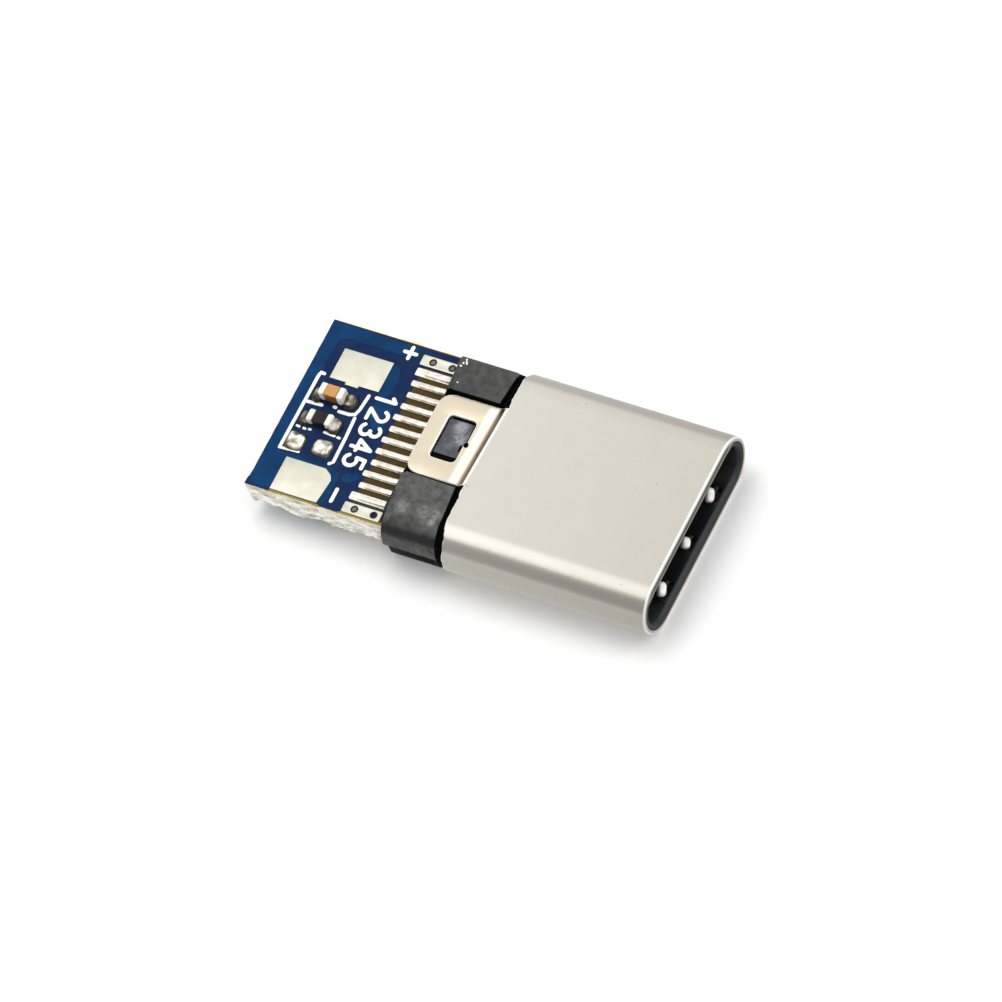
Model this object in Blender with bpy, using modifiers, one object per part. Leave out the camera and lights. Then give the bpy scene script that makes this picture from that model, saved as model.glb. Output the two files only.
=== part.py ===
"""USB-C plug on a small solder board.

The part lies flat: +X points out of the mouth, +Z is up, and the origin is on the surface under its middle.
Each piece hangs from one empty at the middle of the mouth, so its own numbers are depths behind the mouth
(negative x), widths across (y) and heights from the middle plane (z). Sizes are in metres.
"""

import math

import bmesh
import bpy
from mathutils import Matrix, Vector

MM = 0.001

# Shell: a drawn steel tube with one windowed tab above and one below
SHELL_WIDTH = 8.25 * MM
SHELL_HEIGHT = 2.40 * MM
SHELL_LENGTH = 8.40 * MM
SHELL_WALL = 0.16 * MM
SHELL_EDGE = 0.03 * MM
TAB_WIDTH = 3.47 * MM
TAB_SHIFT = 0.365 * MM
TAB_REACH = 2.72 * MM
TAB_DROP = 0.20 * MM
TAB_ROOT = 0.08 * MM
TAB_BEND = 0.32 * MM
TAB_CORNER = 0.65 * MM
WINDOW_LENGTH = 1.05 * MM
WINDOW_WIDTH = 1.83 * MM
WINDOW_BAR = 0.67 * MM
WINDOW_CORNER = 0.15 * MM

# Clearances
FIT = 0.02 * MM
SLOT_FIT = 0.03 * MM
BOSS_FIT = 0.07 * MM
SEAT = 0.012 * MM

# Front housing: the moulding that fills the shell and holds the mating cavity
HOUSING_SETBACK = 0.06 * MM
HOUSING_WALL = 0.24 * MM
HOUSING_INSET = 0.80 * MM
LEAD_IN = 0.10 * MM
HOUSING_BACK = 1.50 * MM
COMB_LENGTH = 1.40 * MM
COMB_DEPTH = 0.26 * MM
THROAT_STEP = 0.05 * MM

# Rear housing: the moulding behind the shell that grips contacts and board
BLOCK_SIDE_STEP = 0.145 * MM
BLOCK_TOP_STEP = 0.02 * MM
BLOCK_LENGTH = 2.50 * MM
BLOCK_GAP = 0.28 * MM
BLOCK_STEP = 0.15 * MM
BLOCK_STEP_HEIGHT = 0.35 * MM
BLOCK_SLOPE_LENGTH = 0.36 * MM
BLOCK_SLOPE_HEIGHT = 0.50 * MM
BLOCK_EDGE = 0.05 * MM
TAB_SIDE_GAP = 0.08 * MM
BOSS_RISE = 0.11 * MM
BOSS_NICK = 0.16 * MM

# Contacts
CONTACT_COUNT = 12
CONTACT_ROW_MARGIN = 0.955 * MM
CONTACT_WIDTH = 0.22 * MM
CONTACT_THICKNESS = 0.12 * MM
CONTACT_OPENING = 0.64 * MM
CONTACT_POINT = 3.30 * MM
CONTACT_TIP = 2.70 * MM
CONTACT_TIP_RISE = 0.10 * MM
CONTACT_RISE = 0.05 * MM
TAIL_LENGTH = 1.16 * MM
TAIL_BEND = 0.15 * MM
BEND_RADIUS = 0.50 * MM

# Latch: a flat stamped fork in the middle plane
LATCH_THICKNESS = 0.25 * MM
LATCH_SIDE_ROOM = 0.105 * MM
LATCH_ARM = 0.36 * MM
LATCH_BEHIND = 0.05 * MM
LATCH_BAR = 0.70 * MM
LATCH_TIP = 1.75 * MM
LATCH_HOOK_AT = 2.40 * MM
LATCH_HOOK = 0.22 * MM

# Grounding springs: one sheet above and one below, three fingers each
SPRING_THICKNESS = 0.08 * MM
SPRING_SINK = 0.11 * MM
SPRING_MARGIN = 0.855 * MM
SPRING_BACK = 5.10 * MM
SPRING_ROOT = 1.85 * MM
SPRING_CREST_AT = 0.50 * MM
SPRING_CREST = 0.52 * MM
SPRING_TIP_AT = 0.34 * MM
FINGER_WIDTHS = (0.65 * MM, 0.45 * MM, 0.65 * MM)
FINGER_INSET = 0.79 * MM
FINGER_ROOM = 0.08 * MM
WINDOW_FRONT = 0.24 * MM

# Board
BOARD_ROOM = 0.28 * MM
BOARD_SIDE_WALL = 0.28 * MM
BOARD_SHIFT = 0.10 * MM
BOARD_REACH = 8.32 * MM
BOARD_GRIP = 1.68 * MM
COPPER = 0.035 * MM
LAND_WIDTH = 0.30 * MM
LAND_AHEAD = 0.28 * MM
VIA_RADIUS = 0.13 * MM
VIA_PITCH = 0.80 * MM
GROUND_PAD_LENGTH = 1.58 * MM
GROUND_PAD_WIDTH = 0.44 * MM
GROUND_PAD_INSET = 0.44 * MM
VIA_INSET = 0.48 * MM

# Supply pads, between the board's edges, the ground pads and the chips
SUPPLY_PAD_INSET = 0.98 * MM
SUPPLY_PAD_GAP = 0.92 * MM
POSITIVE_PAD_INSET = 1.01 * MM
NEGATIVE_PAD_INSET = 0.13 * MM
CHIP_PAD_GAP = 0.70 * MM
PAD_NOTCH = 0.20 * MM

# Two chip components and one empty place, in rows across the board
CHIP_LENGTH = 1.00 * MM
CHIP_WIDTH = 0.50 * MM
CHIP_END = 0.24 * MM
CAPACITOR_HEIGHT = 0.50 * MM
RESISTOR_HEIGHT = 0.35 * MM
CHIP_INSET = 1.56 * MM
CAPACITOR_Y = 0.78 * MM
RESISTOR_Y = -0.30 * MM
EMPTY_Y = -1.35 * MM
SOLDER_REACH = 0.34 * MM
SOLDER_WIDTH = 0.72 * MM
BUMP_HEIGHT = 0.22 * MM

ARC_STEPS = 20
OVERCUT = 0.30 * MM

# What follows from the sizes above
MOUTH_X = (SHELL_LENGTH + BOARD_REACH) / 2
BLOCK_FRONT = SHELL_LENGTH + BLOCK_GAP
BLOCK_BACK = BLOCK_FRONT + BLOCK_LENGTH
BLOCK_WIDTH = SHELL_WIDTH - 2 * BLOCK_SIDE_STEP
BLOCK_HEIGHT = SHELL_HEIGHT - 2 * BLOCK_TOP_STEP
BOARD_BACK = SHELL_LENGTH + BOARD_REACH
BOARD_FRONT = BLOCK_BACK - BOARD_GRIP
BOARD_WIDTH = BLOCK_WIDTH - 2 * BOARD_SIDE_WALL
TAB_BACK = SHELL_LENGTH + TAB_REACH
TAB_TOP = SHELL_HEIGHT / 2 - TAB_DROP
RECESS_FLOOR = TAB_TOP - SHELL_WALL - FIT
WINDOW_AT = TAB_BACK - WINDOW_BAR - WINDOW_LENGTH / 2
HOUSING_END = SHELL_LENGTH - HOUSING_INSET
HOUSING_WIDTH = SHELL_WIDTH - 2 * (SHELL_WALL + FIT)
HOUSING_HEIGHT = SHELL_HEIGHT - 2 * (SHELL_WALL + FIT)
CAVITY_DEPTH = HOUSING_END - HOUSING_BACK
COMB_START = CAVITY_DEPTH - COMB_LENGTH
CAVITY_WIDTH = HOUSING_WIDTH - 2 * HOUSING_WALL
CAVITY_HEIGHT = HOUSING_HEIGHT - 2 * HOUSING_WALL
COMB_OPENING = CAVITY_HEIGHT - 2 * COMB_DEPTH
BOARD_TOP = CAVITY_HEIGHT / 2 - BOARD_ROOM
TAIL_Z = BOARD_TOP + COPPER + SEAT + CONTACT_THICKNESS / 2
ROW_Z = TAIL_Z + CONTACT_RISE
CONTACT_PITCH = (CAVITY_WIDTH - 2 * CONTACT_ROW_MARGIN) / (CONTACT_COUNT - 1)
CONTACT_YS = [(place - (CONTACT_COUNT - 1) / 2) * CONTACT_PITCH for place in range(CONTACT_COUNT)]
LATCH_WIDTH = CAVITY_WIDTH - 2 * LATCH_SIDE_ROOM
LATCH_BACK = SHELL_LENGTH + LATCH_BEHIND
SPRING_WIDTH = CAVITY_WIDTH - 2 * SPRING_MARGIN
FINGER_PITCH = SPRING_WIDTH / 2 - FINGER_INSET
FINGER_YS = [-FINGER_PITCH, 0.0, FINGER_PITCH]
GROUND_PAD_Y = BOARD_WIDTH / 2 - GROUND_PAD_INSET
SUPPLY_PAD_LENGTH = BOARD_BACK - SUPPLY_PAD_INSET - BLOCK_BACK - GROUND_PAD_LENGTH - SUPPLY_PAD_GAP
POSITIVE_PAD_Y = (CAPACITOR_Y + CHIP_PAD_GAP, BOARD_SHIFT + BOARD_WIDTH / 2 - POSITIVE_PAD_INSET)
NEGATIVE_PAD_Y = (BOARD_SHIFT - BOARD_WIDTH / 2 + NEGATIVE_PAD_INSET, EMPTY_Y - CHIP_PAD_GAP)
CHIP_X = -(BOARD_BACK - CHIP_INSET)


def clear_scene():
    for obj in list(bpy.data.objects):
        bpy.data.objects.remove(obj)


def make_collection(name):
    collection = bpy.data.collections.new(name)
    bpy.context.scene.collection.children.link(collection)
    return collection


def make_material(name, colour, roughness, metallic=0.0):
    material = bpy.data.materials.new(name)
    material.use_nodes = True
    shader = material.node_tree.nodes["Principled BSDF"]
    shader.inputs["Base Color"].default_value = (*colour, 1.0)
    shader.inputs["Roughness"].default_value = roughness
    shader.inputs["Metallic"].default_value = metallic
    return material


class Plug:
    """The collections and the empty that every piece hangs from."""

    def __init__(self):
        self.parts = make_collection("usb_c_plug")
        self.cutters = make_collection("cutters")
        self.mouth = bpy.data.objects.new("mouth_centre", None)
        self.mouth.location = (MOUTH_X, 0.0, SHELL_HEIGHT / 2)
        self.parts.objects.link(self.mouth)

    def add(self, name, mesh, material=None, turned=False):
        """A piece in the plug's frame; turned puts it on the other face, half a turn about the plug's axis."""
        obj = bpy.data.objects.new(name, mesh)
        self.parts.objects.link(obj)
        obj.parent = self.mouth
        if turned:
            obj.rotation_euler = (math.pi, 0.0, 0.0)
        if material:
            mesh.materials.clear()
            mesh.materials.append(material)
        return obj

    def add_cutter(self, name, mesh):
        obj = bpy.data.objects.new(name, mesh)
        self.cutters.objects.link(obj)
        obj.parent = self.mouth
        obj.hide_render = True
        obj.display_type = "WIRE"
        return obj


def cut(obj, cutter, operation="DIFFERENCE"):
    boolean = obj.modifiers.new(cutter.name, "BOOLEAN")
    boolean.operation = operation
    boolean.solver = "EXACT"
    boolean.object = cutter


def round_edges(obj, width, segments=2, angle=50):
    bevel = obj.modifiers.new("rounded edges", "BEVEL")
    bevel.width = width
    bevel.segments = segments
    bevel.limit_method = "ANGLE"
    bevel.angle_limit = math.radians(angle)
    bevel.use_clamp_overlap = True


def thicken(obj, thickness, offset=0.0):
    solidify = obj.modifiers.new("sheet", "SOLIDIFY")
    solidify.thickness = thickness
    solidify.offset = offset
    solidify.use_even_offset = True


def shade(mesh, angle=35):
    mesh.shade_smooth()
    mesh.set_sharp_from_angle(angle=math.radians(angle))


def stadium(width, height, top=(), bottom=()):
    """(y, z) of a flat-sided oval, anticlockwise seen from the mouth, with extra points on its two flats."""
    radius = height / 2
    half_flat = width / 2 - radius
    angles = [math.pi * (step / ARC_STEPS - 0.5) for step in range(ARC_STEPS + 1)]
    right = [(half_flat + radius * math.cos(a), radius * math.sin(a)) for a in angles]
    left = [(-y, -z) for y, z in right]
    over = [(y, radius) for y in sorted(top, reverse=True)]
    under = [(y, -radius) for y in sorted(bottom)]
    return right + over + left + under


def rounded_box(centre, length, width, radius, steps=5):
    """(u, v) of a rectangle with round corners, anticlockwise."""
    outline = []
    for turn, (side_u, side_v) in enumerate(((1, 1), (-1, 1), (-1, -1), (1, -1))):
        corner_u = centre[0] + side_u * (length / 2 - radius)
        corner_v = centre[1] + side_v * (width / 2 - radius)
        for step in range(steps + 1):
            a = math.pi / 2 * (turn + step / steps)
            outline.append((corner_u + radius * math.cos(a), corner_v + radius * math.sin(a)))
    return outline


def circle(centre, radius, steps=16):
    angles = [2 * math.pi * step / steps for step in range(steps)]
    return [(centre[0] + radius * math.cos(a), centre[1] + radius * math.sin(a)) for a in angles]


def bent_line(corners, radius, steps=3):
    """The corners joined by straight runs, each bend rounded by a curve that leaves them a radius away."""
    line = [Vector(corners[0])]
    for before, corner, after in zip(corners, corners[1:], corners[2:]):
        before, corner, after = Vector(before), Vector(corner), Vector(after)
        reach = min(radius, (corner - before).length * 0.45, (after - corner).length * 0.45)
        start = corner + (before - corner).normalized() * reach
        end = corner + (after - corner).normalized() * reach
        for step in range(steps + 1):
            t = step / steps
            line.append(start * (1 - t) ** 2 + corner * 2 * t * (1 - t) + end * t**2)
    line.append(Vector(corners[-1]))
    return line


# Axes that a flat outline (u, v) with its thickness along w is laid in
LAY_FLAT = Matrix.Identity(4)
LAY_ACROSS = Matrix(((0, 0, 1, 0), (1, 0, 0, 0), (0, 1, 0, 0), (0, 0, 0, 1)))
LAY_UPRIGHT = Matrix(((1, 0, 0, 0), (0, 0, -1, 0), (0, 1, 0, 0), (0, 0, 0, 1)))


def plate(name, outlines, low, high, lay=LAY_FLAT):
    """A solid between two planes: the first outline filled, less the others. Drawn in millimetres, kept in metres."""
    curve = bpy.data.curves.new(name, "CURVE")
    curve.dimensions = "2D"
    curve.fill_mode = "BOTH"
    curve.extrude = (high - low) / 2 / MM
    for outline in outlines:
        spline = curve.splines.new("POLY")
        spline.points.add(len(outline) - 1)
        for point, (u, v) in zip(spline.points, outline):
            point.co = (u / MM, v / MM, 0.0, 1.0)
        spline.use_cyclic_u = True
    drawn = bpy.data.objects.new(name, curve)
    bpy.context.scene.collection.objects.link(drawn)
    graph = bpy.context.evaluated_depsgraph_get()
    mesh = bpy.data.meshes.new_from_object(drawn.evaluated_get(graph))
    bpy.data.objects.remove(drawn)
    mesh.name = name
    mesh.materials.clear()
    bm = bmesh.new()
    bm.from_mesh(mesh)
    bmesh.ops.remove_doubles(bm, verts=bm.verts, dist=0.0005)
    bmesh.ops.translate(bm, verts=bm.verts, vec=(0, 0, (low + high) / 2 / MM))
    bmesh.ops.scale(bm, verts=bm.verts, vec=(MM, MM, MM))
    bmesh.ops.transform(bm, verts=bm.verts, matrix=lay)
    bmesh.ops.recalc_face_normals(bm, faces=bm.faces)
    bm.to_mesh(mesh)
    bm.free()
    return mesh


def box(name, low, high):
    mesh = bpy.data.meshes.new(name)
    bm = bmesh.new()
    bmesh.ops.create_cube(bm, size=1.0)
    size = [b - a for a, b in zip(low, high)]
    centre = [(a + b) / 2 for a, b in zip(low, high)]
    bmesh.ops.scale(bm, verts=bm.verts, vec=size)
    bmesh.ops.translate(bm, verts=bm.verts, vec=centre)
    bm.to_mesh(mesh)
    bm.free()
    return mesh


def gather(name, meshes):
    """Separate solids in one mesh, for a cutter."""
    whole = bmesh.new()
    for mesh in meshes:
        whole.from_mesh(mesh)
    gathered = bpy.data.meshes.new(name)
    whole.to_mesh(gathered)
    whole.free()
    return gathered


def half_turn(mesh):
    """A copy turned half round about the plug's axis."""
    copy = mesh.copy()
    copy.transform(Matrix.Rotation(math.pi, 4, "X"))
    return copy


def loft(name, sections):
    """A solid through outlines of equal point count, each (x, outline), from back to front."""
    mesh = bpy.data.meshes.new(name)
    bm = bmesh.new()
    rings = [[bm.verts.new((x, y, z)) for y, z in outline] for x, outline in sections]
    for back, front in zip(rings, rings[1:]):
        for i, vert in enumerate(back):
            j = (i + 1) % len(back)
            bm.faces.new((vert, back[j], front[j], front[i]))
    bm.faces.new(rings[0])
    bm.faces.new(rings[-1])
    bmesh.ops.recalc_face_normals(bm, faces=bm.faces)
    bm.to_mesh(mesh)
    bm.free()
    return mesh


def strip(name, line, width, y=0.0):
    """The open sheet swept across y from a line of (x, z) points."""
    mesh = bpy.data.meshes.new(name)
    bm = bmesh.new()
    verts = [bm.verts.new((x, y - width / 2, z)) for x, z in line]
    edges = [bm.edges.new(pair) for pair in zip(verts, verts[1:])]
    grown = bmesh.ops.extrude_edge_only(bm, edges=edges)
    moved = [item for item in grown["geom"] if isinstance(item, bmesh.types.BMVert)]
    bmesh.ops.translate(bm, verts=moved, vec=(0, width, 0))
    bmesh.ops.recalc_face_normals(bm, faces=bm.faces)
    bm.to_mesh(mesh)
    bm.free()
    return mesh


def tab_stations():
    """(x, half width, z) down the tab behind the rim: the joggle, the flat, then the round corners."""
    bend_steps = 3
    corner_steps = 5
    half = TAB_WIDTH / 2
    bend_start = -SHELL_LENGTH - TAB_ROOT
    stations = []
    for step in range(bend_steps + 1):
        t = step / bend_steps
        drop = TAB_DROP * t * t * (3 - 2 * t)
        stations.append((bend_start - TAB_BEND * t, half, SHELL_HEIGHT / 2 - drop))
    for step in range(corner_steps + 1):
        a = math.pi / 2 * step / corner_steps
        x = -TAB_BACK + TAB_CORNER * (1 - math.sin(a))
        stations.append((x, half - TAB_CORNER * (1 - math.cos(a)), TAB_TOP))
    return stations


def make_shell(plug, steel):
    """Tube and tabs drawn as one open sheet, its outer face, then given the wall's thickness inwards."""
    half = TAB_WIDTH / 2
    tab_edges = (TAB_SHIFT - half, TAB_SHIFT + half)
    ring = stadium(SHELL_WIDTH, SHELL_HEIGHT, top=tab_edges, bottom=[-y for y in tab_edges])
    mesh = bpy.data.meshes.new("shell")
    bm = bmesh.new()
    front = [bm.verts.new((0.0, y, z)) for y, z in ring]
    back = [bm.verts.new((-SHELL_LENGTH, y, z)) for y, z in ring]
    for i, vert in enumerate(front):
        j = (i + 1) % len(front)
        bm.faces.new((vert, front[j], back[j], back[i]))
    for face in (1, -1):
        row = [vert for vert in back if any(abs(vert.co.y - face * y) < FIT / 10 for y in tab_edges)]
        row = sorted((v for v in row if v.co.z * face > SHELL_HEIGHT / 4), key=lambda v: v.co.y)
        for x, half_width, z in tab_stations():
            ys = [face * TAB_SHIFT - half_width, face * TAB_SHIFT + half_width]
            new_row = [bm.verts.new((x, y, face * z)) for y in ys]
            bm.faces.new((row[0], row[1], new_row[1], new_row[0]))
            row = new_row
    bmesh.ops.recalc_face_normals(bm, faces=bm.faces)
    top = max(bm.faces, key=lambda f: f.calc_center_median().z + f.calc_center_median().x)
    if top.normal.z < 0:
        bmesh.ops.reverse_faces(bm, faces=bm.faces)
    bm.to_mesh(mesh)
    bm.free()
    shell = plug.add("shell", mesh, steel)
    thicken(shell, SHELL_WALL, offset=-1.0)
    round_edges(shell, SHELL_EDGE)
    outline = rounded_box((-WINDOW_AT, TAB_SHIFT), WINDOW_LENGTH, WINDOW_WIDTH, WINDOW_CORNER)
    window = plate("window", [outline], TAB_TOP - 2 * SHELL_WALL, TAB_TOP + SHELL_WALL)
    cut(shell, plug.add_cutter("tab_windows", gather("tab_windows", [window, half_turn(window)])))
    shade(mesh)


def contact_line():
    """(x, z) along the middle of an upper contact's thickness, from its tail to its tip."""
    point_z = CONTACT_OPENING / 2 + CONTACT_THICKNESS / 2
    corners = [
        (-(BLOCK_BACK + TAIL_LENGTH), TAIL_Z),
        (-(BLOCK_BACK + 2 * TAIL_BEND), TAIL_Z),
        (-(BLOCK_BACK + TAIL_BEND), ROW_Z),
        (-CAVITY_DEPTH, ROW_Z),
        (-CONTACT_POINT, point_z),
        (-CONTACT_TIP, point_z + CONTACT_TIP_RISE),
    ]
    return bent_line(corners, BEND_RADIUS)


def make_contacts(plug, metal):
    for number, y in enumerate(CONTACT_YS, start=1):
        for row, turned in (("upper", False), ("lower", True)):
            name = f"contact_{row}_{number:02d}"
            mesh = strip(name, contact_line(), CONTACT_WIDTH, y)
            contact = plug.add(name, mesh, metal, turned)
            thicken(contact, CONTACT_THICKNESS)
            shade(mesh)


def channels(name, profile, width):
    """One groove for each contact above and below, of one (x, z) profile."""
    groove = plate(name, [profile], -width / 2, width / 2, LAY_UPRIGHT)
    grooves = []
    for y in CONTACT_YS:
        copy = groove.copy()
        copy.transform(Matrix.Translation((0, y, 0)))
        grooves += [copy, half_turn(copy)]
    return gather(name, grooves)


def make_front_housing(plug, plastic):
    outline = stadium(HOUSING_WIDTH, HOUSING_HEIGHT)
    mesh = plate("front_housing", [outline], -HOUSING_END, -HOUSING_SETBACK, LAY_ACROSS)
    housing = plug.add("front_housing", mesh, plastic)

    mouth = stadium(CAVITY_WIDTH, CAVITY_HEIGHT)
    flared = stadium(CAVITY_WIDTH + 4 * LEAD_IN, CAVITY_HEIGHT + 4 * LEAD_IN)
    front = -HOUSING_SETBACK
    sections = [(-COMB_START, mouth), (front - LEAD_IN, mouth), (front + LEAD_IN, flared)]
    cut(housing, plug.add_cutter("cavity", loft("cavity", sections)))

    throat = stadium(CAVITY_WIDTH - 2 * THROAT_STEP, COMB_OPENING)
    middle = plate("throat", [throat], -CAVITY_DEPTH, -COMB_START + OVERCUT, LAY_ACROSS)
    cut(housing, plug.add_cutter("throat", middle))

    low = COMB_OPENING / 2 - SLOT_FIT
    slot_top = ROW_Z + CONTACT_THICKNESS / 2 + FIT
    slot_floor = ROW_Z - CONTACT_THICKNESS / 2 - FIT
    lane_back = -CAVITY_DEPTH - SLOT_FIT
    profile = [
        (-COMB_START + OVERCUT, low),
        (-COMB_START + OVERCUT, CAVITY_HEIGHT / 2 - FIT),
        (lane_back, CAVITY_HEIGHT / 2 - FIT),
        (lane_back, slot_top),
        (-HOUSING_END - OVERCUT, slot_top),
        (-HOUSING_END - OVERCUT, slot_floor),
        (lane_back, slot_floor),
        (lane_back, low),
    ]
    lanes = channels("comb", profile, CONTACT_WIDTH + 2 * SLOT_FIT)
    cut(housing, plug.add_cutter("comb", lanes))

    arm_room = []
    for side in (-1, 1):
        outer = side * (LATCH_WIDTH / 2 + SLOT_FIT)
        inner = side * (LATCH_WIDTH / 2 - LATCH_ARM - SLOT_FIT)
        half = LATCH_THICKNESS / 2 + FIT
        low_corner = (-HOUSING_END - OVERCUT, min(inner, outer), -half)
        arm_room.append(box("arm", low_corner, (-CAVITY_DEPTH + OVERCUT, max(inner, outer), half)))
    cut(housing, plug.add_cutter("latch_slots", gather("latch_slots", arm_room)))

    seat_z = HOUSING_HEIGHT / 2 - SPRING_SINK
    top = HOUSING_HEIGHT / 2 + OVERCUT
    half = SPRING_WIDTH / 2 + SLOT_FIT
    sink = box("sink", (-SPRING_BACK - SLOT_FIT, -half, seat_z), (-SPRING_ROOT, half, top))
    cut(housing, plug.add_cutter("spring_seats", gather("spring_seats", [sink, half_turn(sink)])))
    windows = []
    for y, width in zip(FINGER_YS, FINGER_WIDTHS):
        half = width / 2 + FINGER_ROOM
        low_corner = (-SPRING_ROOT - FINGER_ROOM, y - half, CAVITY_HEIGHT / 4)
        windows.append(box("window", low_corner, (-WINDOW_FRONT, y + half, top)))
    windows += [half_turn(window) for window in windows]
    cut(housing, plug.add_cutter("spring_windows", gather("spring_windows", windows)))
    shade(mesh)


def block_section(width, height, inset=0.0):
    """The rear housing's oval, stepped in on the upper far side and, half a turn round, on the lower near side."""
    radius = height / 2 - inset
    wide = width / 2 - height / 2
    narrow = wide - BLOCK_STEP
    step_angle = math.asin(BLOCK_STEP_HEIGHT / radius)
    below = [-math.pi / 2 + (step_angle + math.pi / 2) * i / ARC_STEPS for i in range(ARC_STEPS + 1)]
    above = [step_angle + (math.pi / 2 - step_angle) * i / ARC_STEPS for i in range(ARC_STEPS + 1)]
    right = [(wide + radius * math.cos(a), radius * math.sin(a)) for a in below]
    right += [(narrow + radius * math.cos(a), radius * math.sin(a)) for a in above]
    return right + [(-y, -z) for y, z in right]


def rear_slope_cutters():
    """Wedges that slope the rear top and bottom edges."""
    top = BLOCK_HEIGHT / 2
    profile = [
        (-BLOCK_BACK + BLOCK_SLOPE_LENGTH, top),
        (-BLOCK_BACK + BLOCK_SLOPE_LENGTH, top + OVERCUT),
        (-BLOCK_BACK - OVERCUT, top + OVERCUT),
        (-BLOCK_BACK - OVERCUT, top - BLOCK_SLOPE_HEIGHT),
        (-BLOCK_BACK, top - BLOCK_SLOPE_HEIGHT),
        (-BLOCK_BACK + BLOCK_SLOPE_LENGTH * 0.3, top - BLOCK_SLOPE_HEIGHT * 0.4),
    ]
    wedge = plate("wedge", [profile], -BLOCK_WIDTH, BLOCK_WIDTH, LAY_UPRIGHT)
    return gather("rear_slopes", [wedge, half_turn(wedge)])


def tab_recesses():
    """Room for each tab between the wings, leaving the boss that fills the tab's window."""
    half = TAB_WIDTH / 2 + TAB_SIDE_GAP
    front = -SHELL_LENGTH
    back = -BLOCK_BACK - OVERCUT
    top = SHELL_HEIGHT
    floor = RECESS_FLOOR
    recess = box("recess", (back, TAB_SHIFT - half, floor), (front, TAB_SHIFT + half, top))
    return gather("tab_recesses", [recess, half_turn(recess)])


def boss_mesh():
    """The block in a tab's window, with a nick in its front edge."""
    length = WINDOW_LENGTH - 2 * BOSS_FIT
    width = WINDOW_WIDTH - 2 * BOSS_FIT
    front = -WINDOW_AT + length / 2
    back = -WINDOW_AT - length / 2
    near = TAB_SHIFT - width / 2
    far = TAB_SHIFT + width / 2
    nick_near = near + width * 0.30
    nick_far = nick_near + BOSS_NICK * 1.5
    outline = [
        (back, near),
        (front, near),
        (front, nick_near),
        (front - BOSS_NICK / 2, nick_near),
        (front - BOSS_NICK / 2, nick_far),
        (front, nick_far),
        (front, far),
        (back, far),
    ]
    return plate("boss", [outline], RECESS_FLOOR - SHELL_WALL / 2, RECESS_FLOOR + BOSS_RISE)


def make_rear_housing(plug, plastic):
    body = [
        (-BLOCK_BACK, block_section(BLOCK_WIDTH, BLOCK_HEIGHT, BLOCK_EDGE)),
        (-BLOCK_BACK + BLOCK_EDGE, block_section(BLOCK_WIDTH, BLOCK_HEIGHT)),
        (-BLOCK_FRONT - BLOCK_EDGE, block_section(BLOCK_WIDTH, BLOCK_HEIGHT)),
        (-BLOCK_FRONT, block_section(BLOCK_WIDTH, BLOCK_HEIGHT, BLOCK_EDGE)),
    ]
    mesh = loft("rear_housing", body)
    housing = plug.add("rear_housing", mesh, plastic)
    neck_outline = stadium(HOUSING_WIDTH, HOUSING_HEIGHT)
    neck = plate("neck", [neck_outline], -BLOCK_FRONT - OVERCUT, -HOUSING_END - FIT, LAY_ACROSS)
    cut(housing, plug.add_cutter("neck", neck), "UNION")
    cut(housing, plug.add_cutter("rear_slopes", rear_slope_cutters()))
    cut(housing, plug.add_cutter("tab_recesses", tab_recesses()))
    boss = boss_mesh()
    cut(housing, plug.add_cutter("bosses", gather("bosses", [boss, half_turn(boss)])), "UNION")

    slot_half = BOARD_TOP + COPPER + SLOT_FIT
    board_room = box(
        "board_room",
        (-BLOCK_BACK - OVERCUT, BOARD_SHIFT - BOARD_WIDTH / 2 - SLOT_FIT, -slot_half),
        (-BOARD_FRONT + SLOT_FIT, BOARD_SHIFT + BOARD_WIDTH / 2 + SLOT_FIT, slot_half),
    )
    cut(housing, plug.add_cutter("board_slot", board_room))

    front = -HOUSING_END + OVERCUT
    half = LATCH_THICKNESS / 2 + FIT
    reach = LATCH_WIDTH / 2 + SLOT_FIT
    latch_room = box("latch_room", (-LATCH_BACK - FIT, -reach, -half), (front, reach, half))
    cut(housing, plug.add_cutter("latch_pocket", latch_room))

    slot_top = ROW_Z + CONTACT_THICKNESS / 2 + FIT
    slot_floor = ROW_Z - CONTACT_THICKNESS / 2 - FIT
    profile = [
        (-BLOCK_BACK - OVERCUT, slot_half - FIT),
        (-BOARD_FRONT, slot_half - FIT),
        (-BOARD_FRONT, slot_floor),
        (front, slot_floor),
        (front, slot_top),
        (-BLOCK_BACK - OVERCUT, slot_top),
    ]
    grooves = channels("contact_channels", profile, CONTACT_WIDTH + 2 * SLOT_FIT)
    cut(housing, plug.add_cutter("contact_channels", grooves))
    shade(mesh)


def make_latch(plug, metal):
    """A fork: a bar behind, two arms beside the cavity, and a hook at each tip that grips the socket's tongue."""
    outer = LATCH_WIDTH / 2
    inner = outer - LATCH_ARM
    bar_front = -LATCH_BACK + LATCH_BAR
    side = [
        (-LATCH_BACK, outer),
        (-LATCH_HOOK_AT, outer),
        (-LATCH_TIP, outer - LATCH_ARM * 0.35),
        (-LATCH_TIP, inner + LATCH_ARM * 0.20),
        (-LATCH_HOOK_AT + LATCH_ARM / 3, inner - LATCH_HOOK),
        (-LATCH_HOOK_AT - LATCH_ARM / 3, inner - LATCH_HOOK),
        (-LATCH_HOOK_AT - LATCH_ARM, inner + LATCH_ARM * 0.15),
        (-CAVITY_DEPTH, inner + LATCH_ARM * 0.10),
        (bar_front - LATCH_ARM / 3, inner),
        (bar_front, inner - LATCH_ARM / 3),
    ]
    outline = side + [(x, -y) for x, y in reversed(side)]
    mesh = plate("latch", [outline], -LATCH_THICKNESS / 2, LATCH_THICKNESS / 2)
    plug.add("latch", mesh, metal)
    shade(mesh)


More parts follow.
